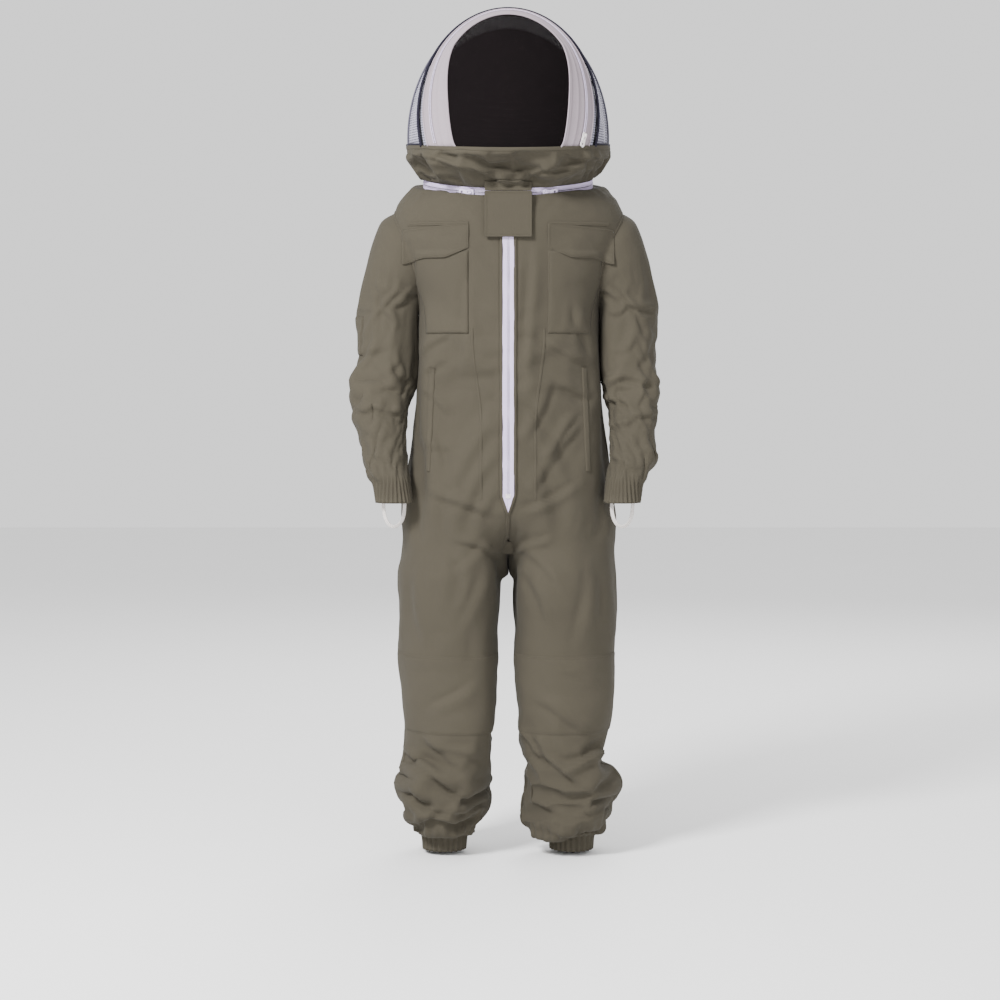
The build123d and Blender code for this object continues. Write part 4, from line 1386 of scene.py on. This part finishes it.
def throat_point(u, v):
    bow = 1.1 * noise_at(u * 86, 0.0, v * 83, 24, 15)
    bow += 0.8 * math.sin(math.pi * u) - 0.7 * edge_fall(u, v, PATCH_SIZE, 3.0)
    return lo[0] + PATCH_SIZE[0] * u, lo[1] - 0.3 - max(-1.0, bow), hi[2] - PATCH_SIZE[1] * v


def throat_aim(u, v):
    x, _, z = throat_point(u, v)
    return from_front(x, z)


def throat_band_point(u, v):
    """From the skirt down to the top of the throat patch."""
    x, z = lo[0] + PATCH_SIZE[0] * u, hi[2] + 17 - 16 * v
    near_skirt = struck(skirt_tree, *from_front(x, z + 3))
    y0 = (near_skirt[1] if near_skirt is not None else lo[1]) - 1.0
    w = smooth(0.25, 1.0, v)
    return x, y0 * (1 - w) + (lo[1] - 0.2) * w, z


throat = sheet_from("throat_patch_cloth", grid_of(24, 26, throat_point), 3.4, 3.5,
                    middle=(0, 0, -40))
throat_tree = surface_of(throat)
thickened(throat, 1.3)
worn(throat, "throat_patch", COTTON, "throat_patch", flat=(0.096, 0.093), held="hung")
stitching("throat_patch_stitching", "throat_patch",
          border(throat_tree, throat_aim, PATCH_SIZE, 4.0, 0.35))
header = sheet_from("throat_patch_band", grid_of(7, 22, throat_band_point), 4.0, 2.5,
                    middle=(0, 0, 10))
thickened(header, 1.2)
worn(header, "hood", COTTON, "throat_patch_header", flat=(0.090, 0.022), held="hung")

# ---------------------------------------------------------------- thumb loops
for side, word in SIDES:
    low, high = (np.array(c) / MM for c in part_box(f"thumb_loop_{word}"))
    cx, cy, drop = (low[0] + high[0]) / 2, (low[1] + high[1]) / 2, high[2] - low[2]
    grid = [[(cx + (20.0 + 3.0 * share) * math.cos(t), cy + 2.2 * share,
              high[2] + 4 - (drop - 2 + 3.0 * share) * math.sin(t) ** 0.7)
             for share in (-1, -0.5, 0, 0.5, 1)] for t in np.linspace(0, math.pi, 28)]
    loop = sheet_from(f"thumb_elastic_{word}", np.array(grid, float), 1.8, 4.0, ELASTIC,
                      middle=(cx, cy, high[2] - 20))
    thickened(loop, 1.2)
    worn(loop, f"sleeve_{word}", "white_elastic", f"thumb_loop_{word}")
stitching("suit_stitching", "suit", suit_lines)


# ---------------------------------------------------------------- finish the large cloths
def fading(z, middle, reach):
    """1 at a height, fading away from it."""
    return np.exp(-((z - middle) / reach) ** 2)


for (side, word), cloth, sleeve in zip(SIDES, coveralls, sleeves):
    _, y, z = taken(cloth).T
    mark_wear(cloth, fading(z, -1224, 8) + 0.5 * fading(z, -930, 80) * (y < 0))
    thickened(cloth, 1.0)
    worn(cloth, None, COTTON, f"front_panel_{word}", f"thigh_{word}", f"leg_{word}",
         f"ankle_cuff_{word}", "back_panel", "back_yoke", flat=(0.66, 1.42), held="hung", area=0.72)
    over_hip(cloth, side, word)
    z = taken(sleeve)[:, 2]
    mark_wear(sleeve, fading(z, -562, 8) + 0.4 * fading(z, -350, 50))
    thickened(sleeve, 1.0)
    worn(sleeve, None, COTTON, f"shoulder_{word}", f"sleeve_{word}", f"cuff_{word}",
         flat=(0.46, 0.52), held="hung", area=0.19)
    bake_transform(sleeve)

CAD_FINISH = {"neck_zip": TEETH, "slider": METAL, "pull": METAL, "stop": METAL,
              "hook_tape": HOOK, "loop_tape": HOOK, "hoop": HOOPS}
for name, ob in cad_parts.items():
    if not ob.hide_render:
        found = next((m for key, m in CAD_FINISH.items() if key in name), KHAKI)
        ob.data.materials.clear()
        ob.data.materials.append(found)

# ---------------------------------------------------------------- studio
FLOOR_Z = -1.236
scene = bpy.context.scene
me = bpy.data.meshes.new("studio_floor")
floor = bpy.data.objects.new("studio_floor", me)
with editing(floor) as bm:
    bmesh.ops.create_grid(bm, x_segments=24, y_segments=24, size=9.0)
floor.location = (0, 0, FLOOR_Z)
scene.collection.objects.link(floor)
f = Finish("studio_white", Roughness=0.9)
f.colour((0.86, 0.86, 0.86, 1), f.ranged(f.noise(f.place(), 0.5, 3.0), 0.99, 1.01))
me.materials.append(f.material)

world = bpy.data.worlds.new("studio")
scene.world = world
world.use_nodes = True
world.node_tree.nodes["Background"].inputs["Color"].default_value = (1, 1, 1, 1)
world.node_tree.nodes["Background"].inputs["Strength"].default_value = 1.25


def aimed(ob, place, target):
    """Puts a light or camera into the scene, looking at a target."""
    ob.location = place
    ob.rotation_euler = (Vector(target) - ob.location).to_track_quat("-Z", "Y").to_euler()
    scene.collection.objects.link(ob)


for name, place, target, power, size in (
        ("key", (-1.7, -2.4, 1.7), (0, 0, -0.15), 290, 0.8),
        ("fill", (1.5, -3.4, -0.3), (0, 0, -0.2), 42, 1.8),
        ("back", (0.8, 3.0, 1.8), (0, 0, -0.3), 90, 2.0)):
    light = bpy.data.lights.new(name, "AREA")
    light.energy, light.size = power, size
    aimed(bpy.data.objects.new(name, light), place, target)

# The view takes in 1.86 m at the suit, from a little above its waist.
VIEW_WIDTH, VIEW_DISTANCE = 1.86, 4.6
camera = bpy.data.cameras.new("camera")
camera.sensor_width = 36
camera.lens = camera.sensor_width * VIEW_DISTANCE / VIEW_WIDTH
eye = bpy.data.objects.new("camera", camera)
aimed(eye, (-0.015, -VIEW_DISTANCE - 0.05, -0.30), (-0.015, 0, -0.567))
scene.camera = eye
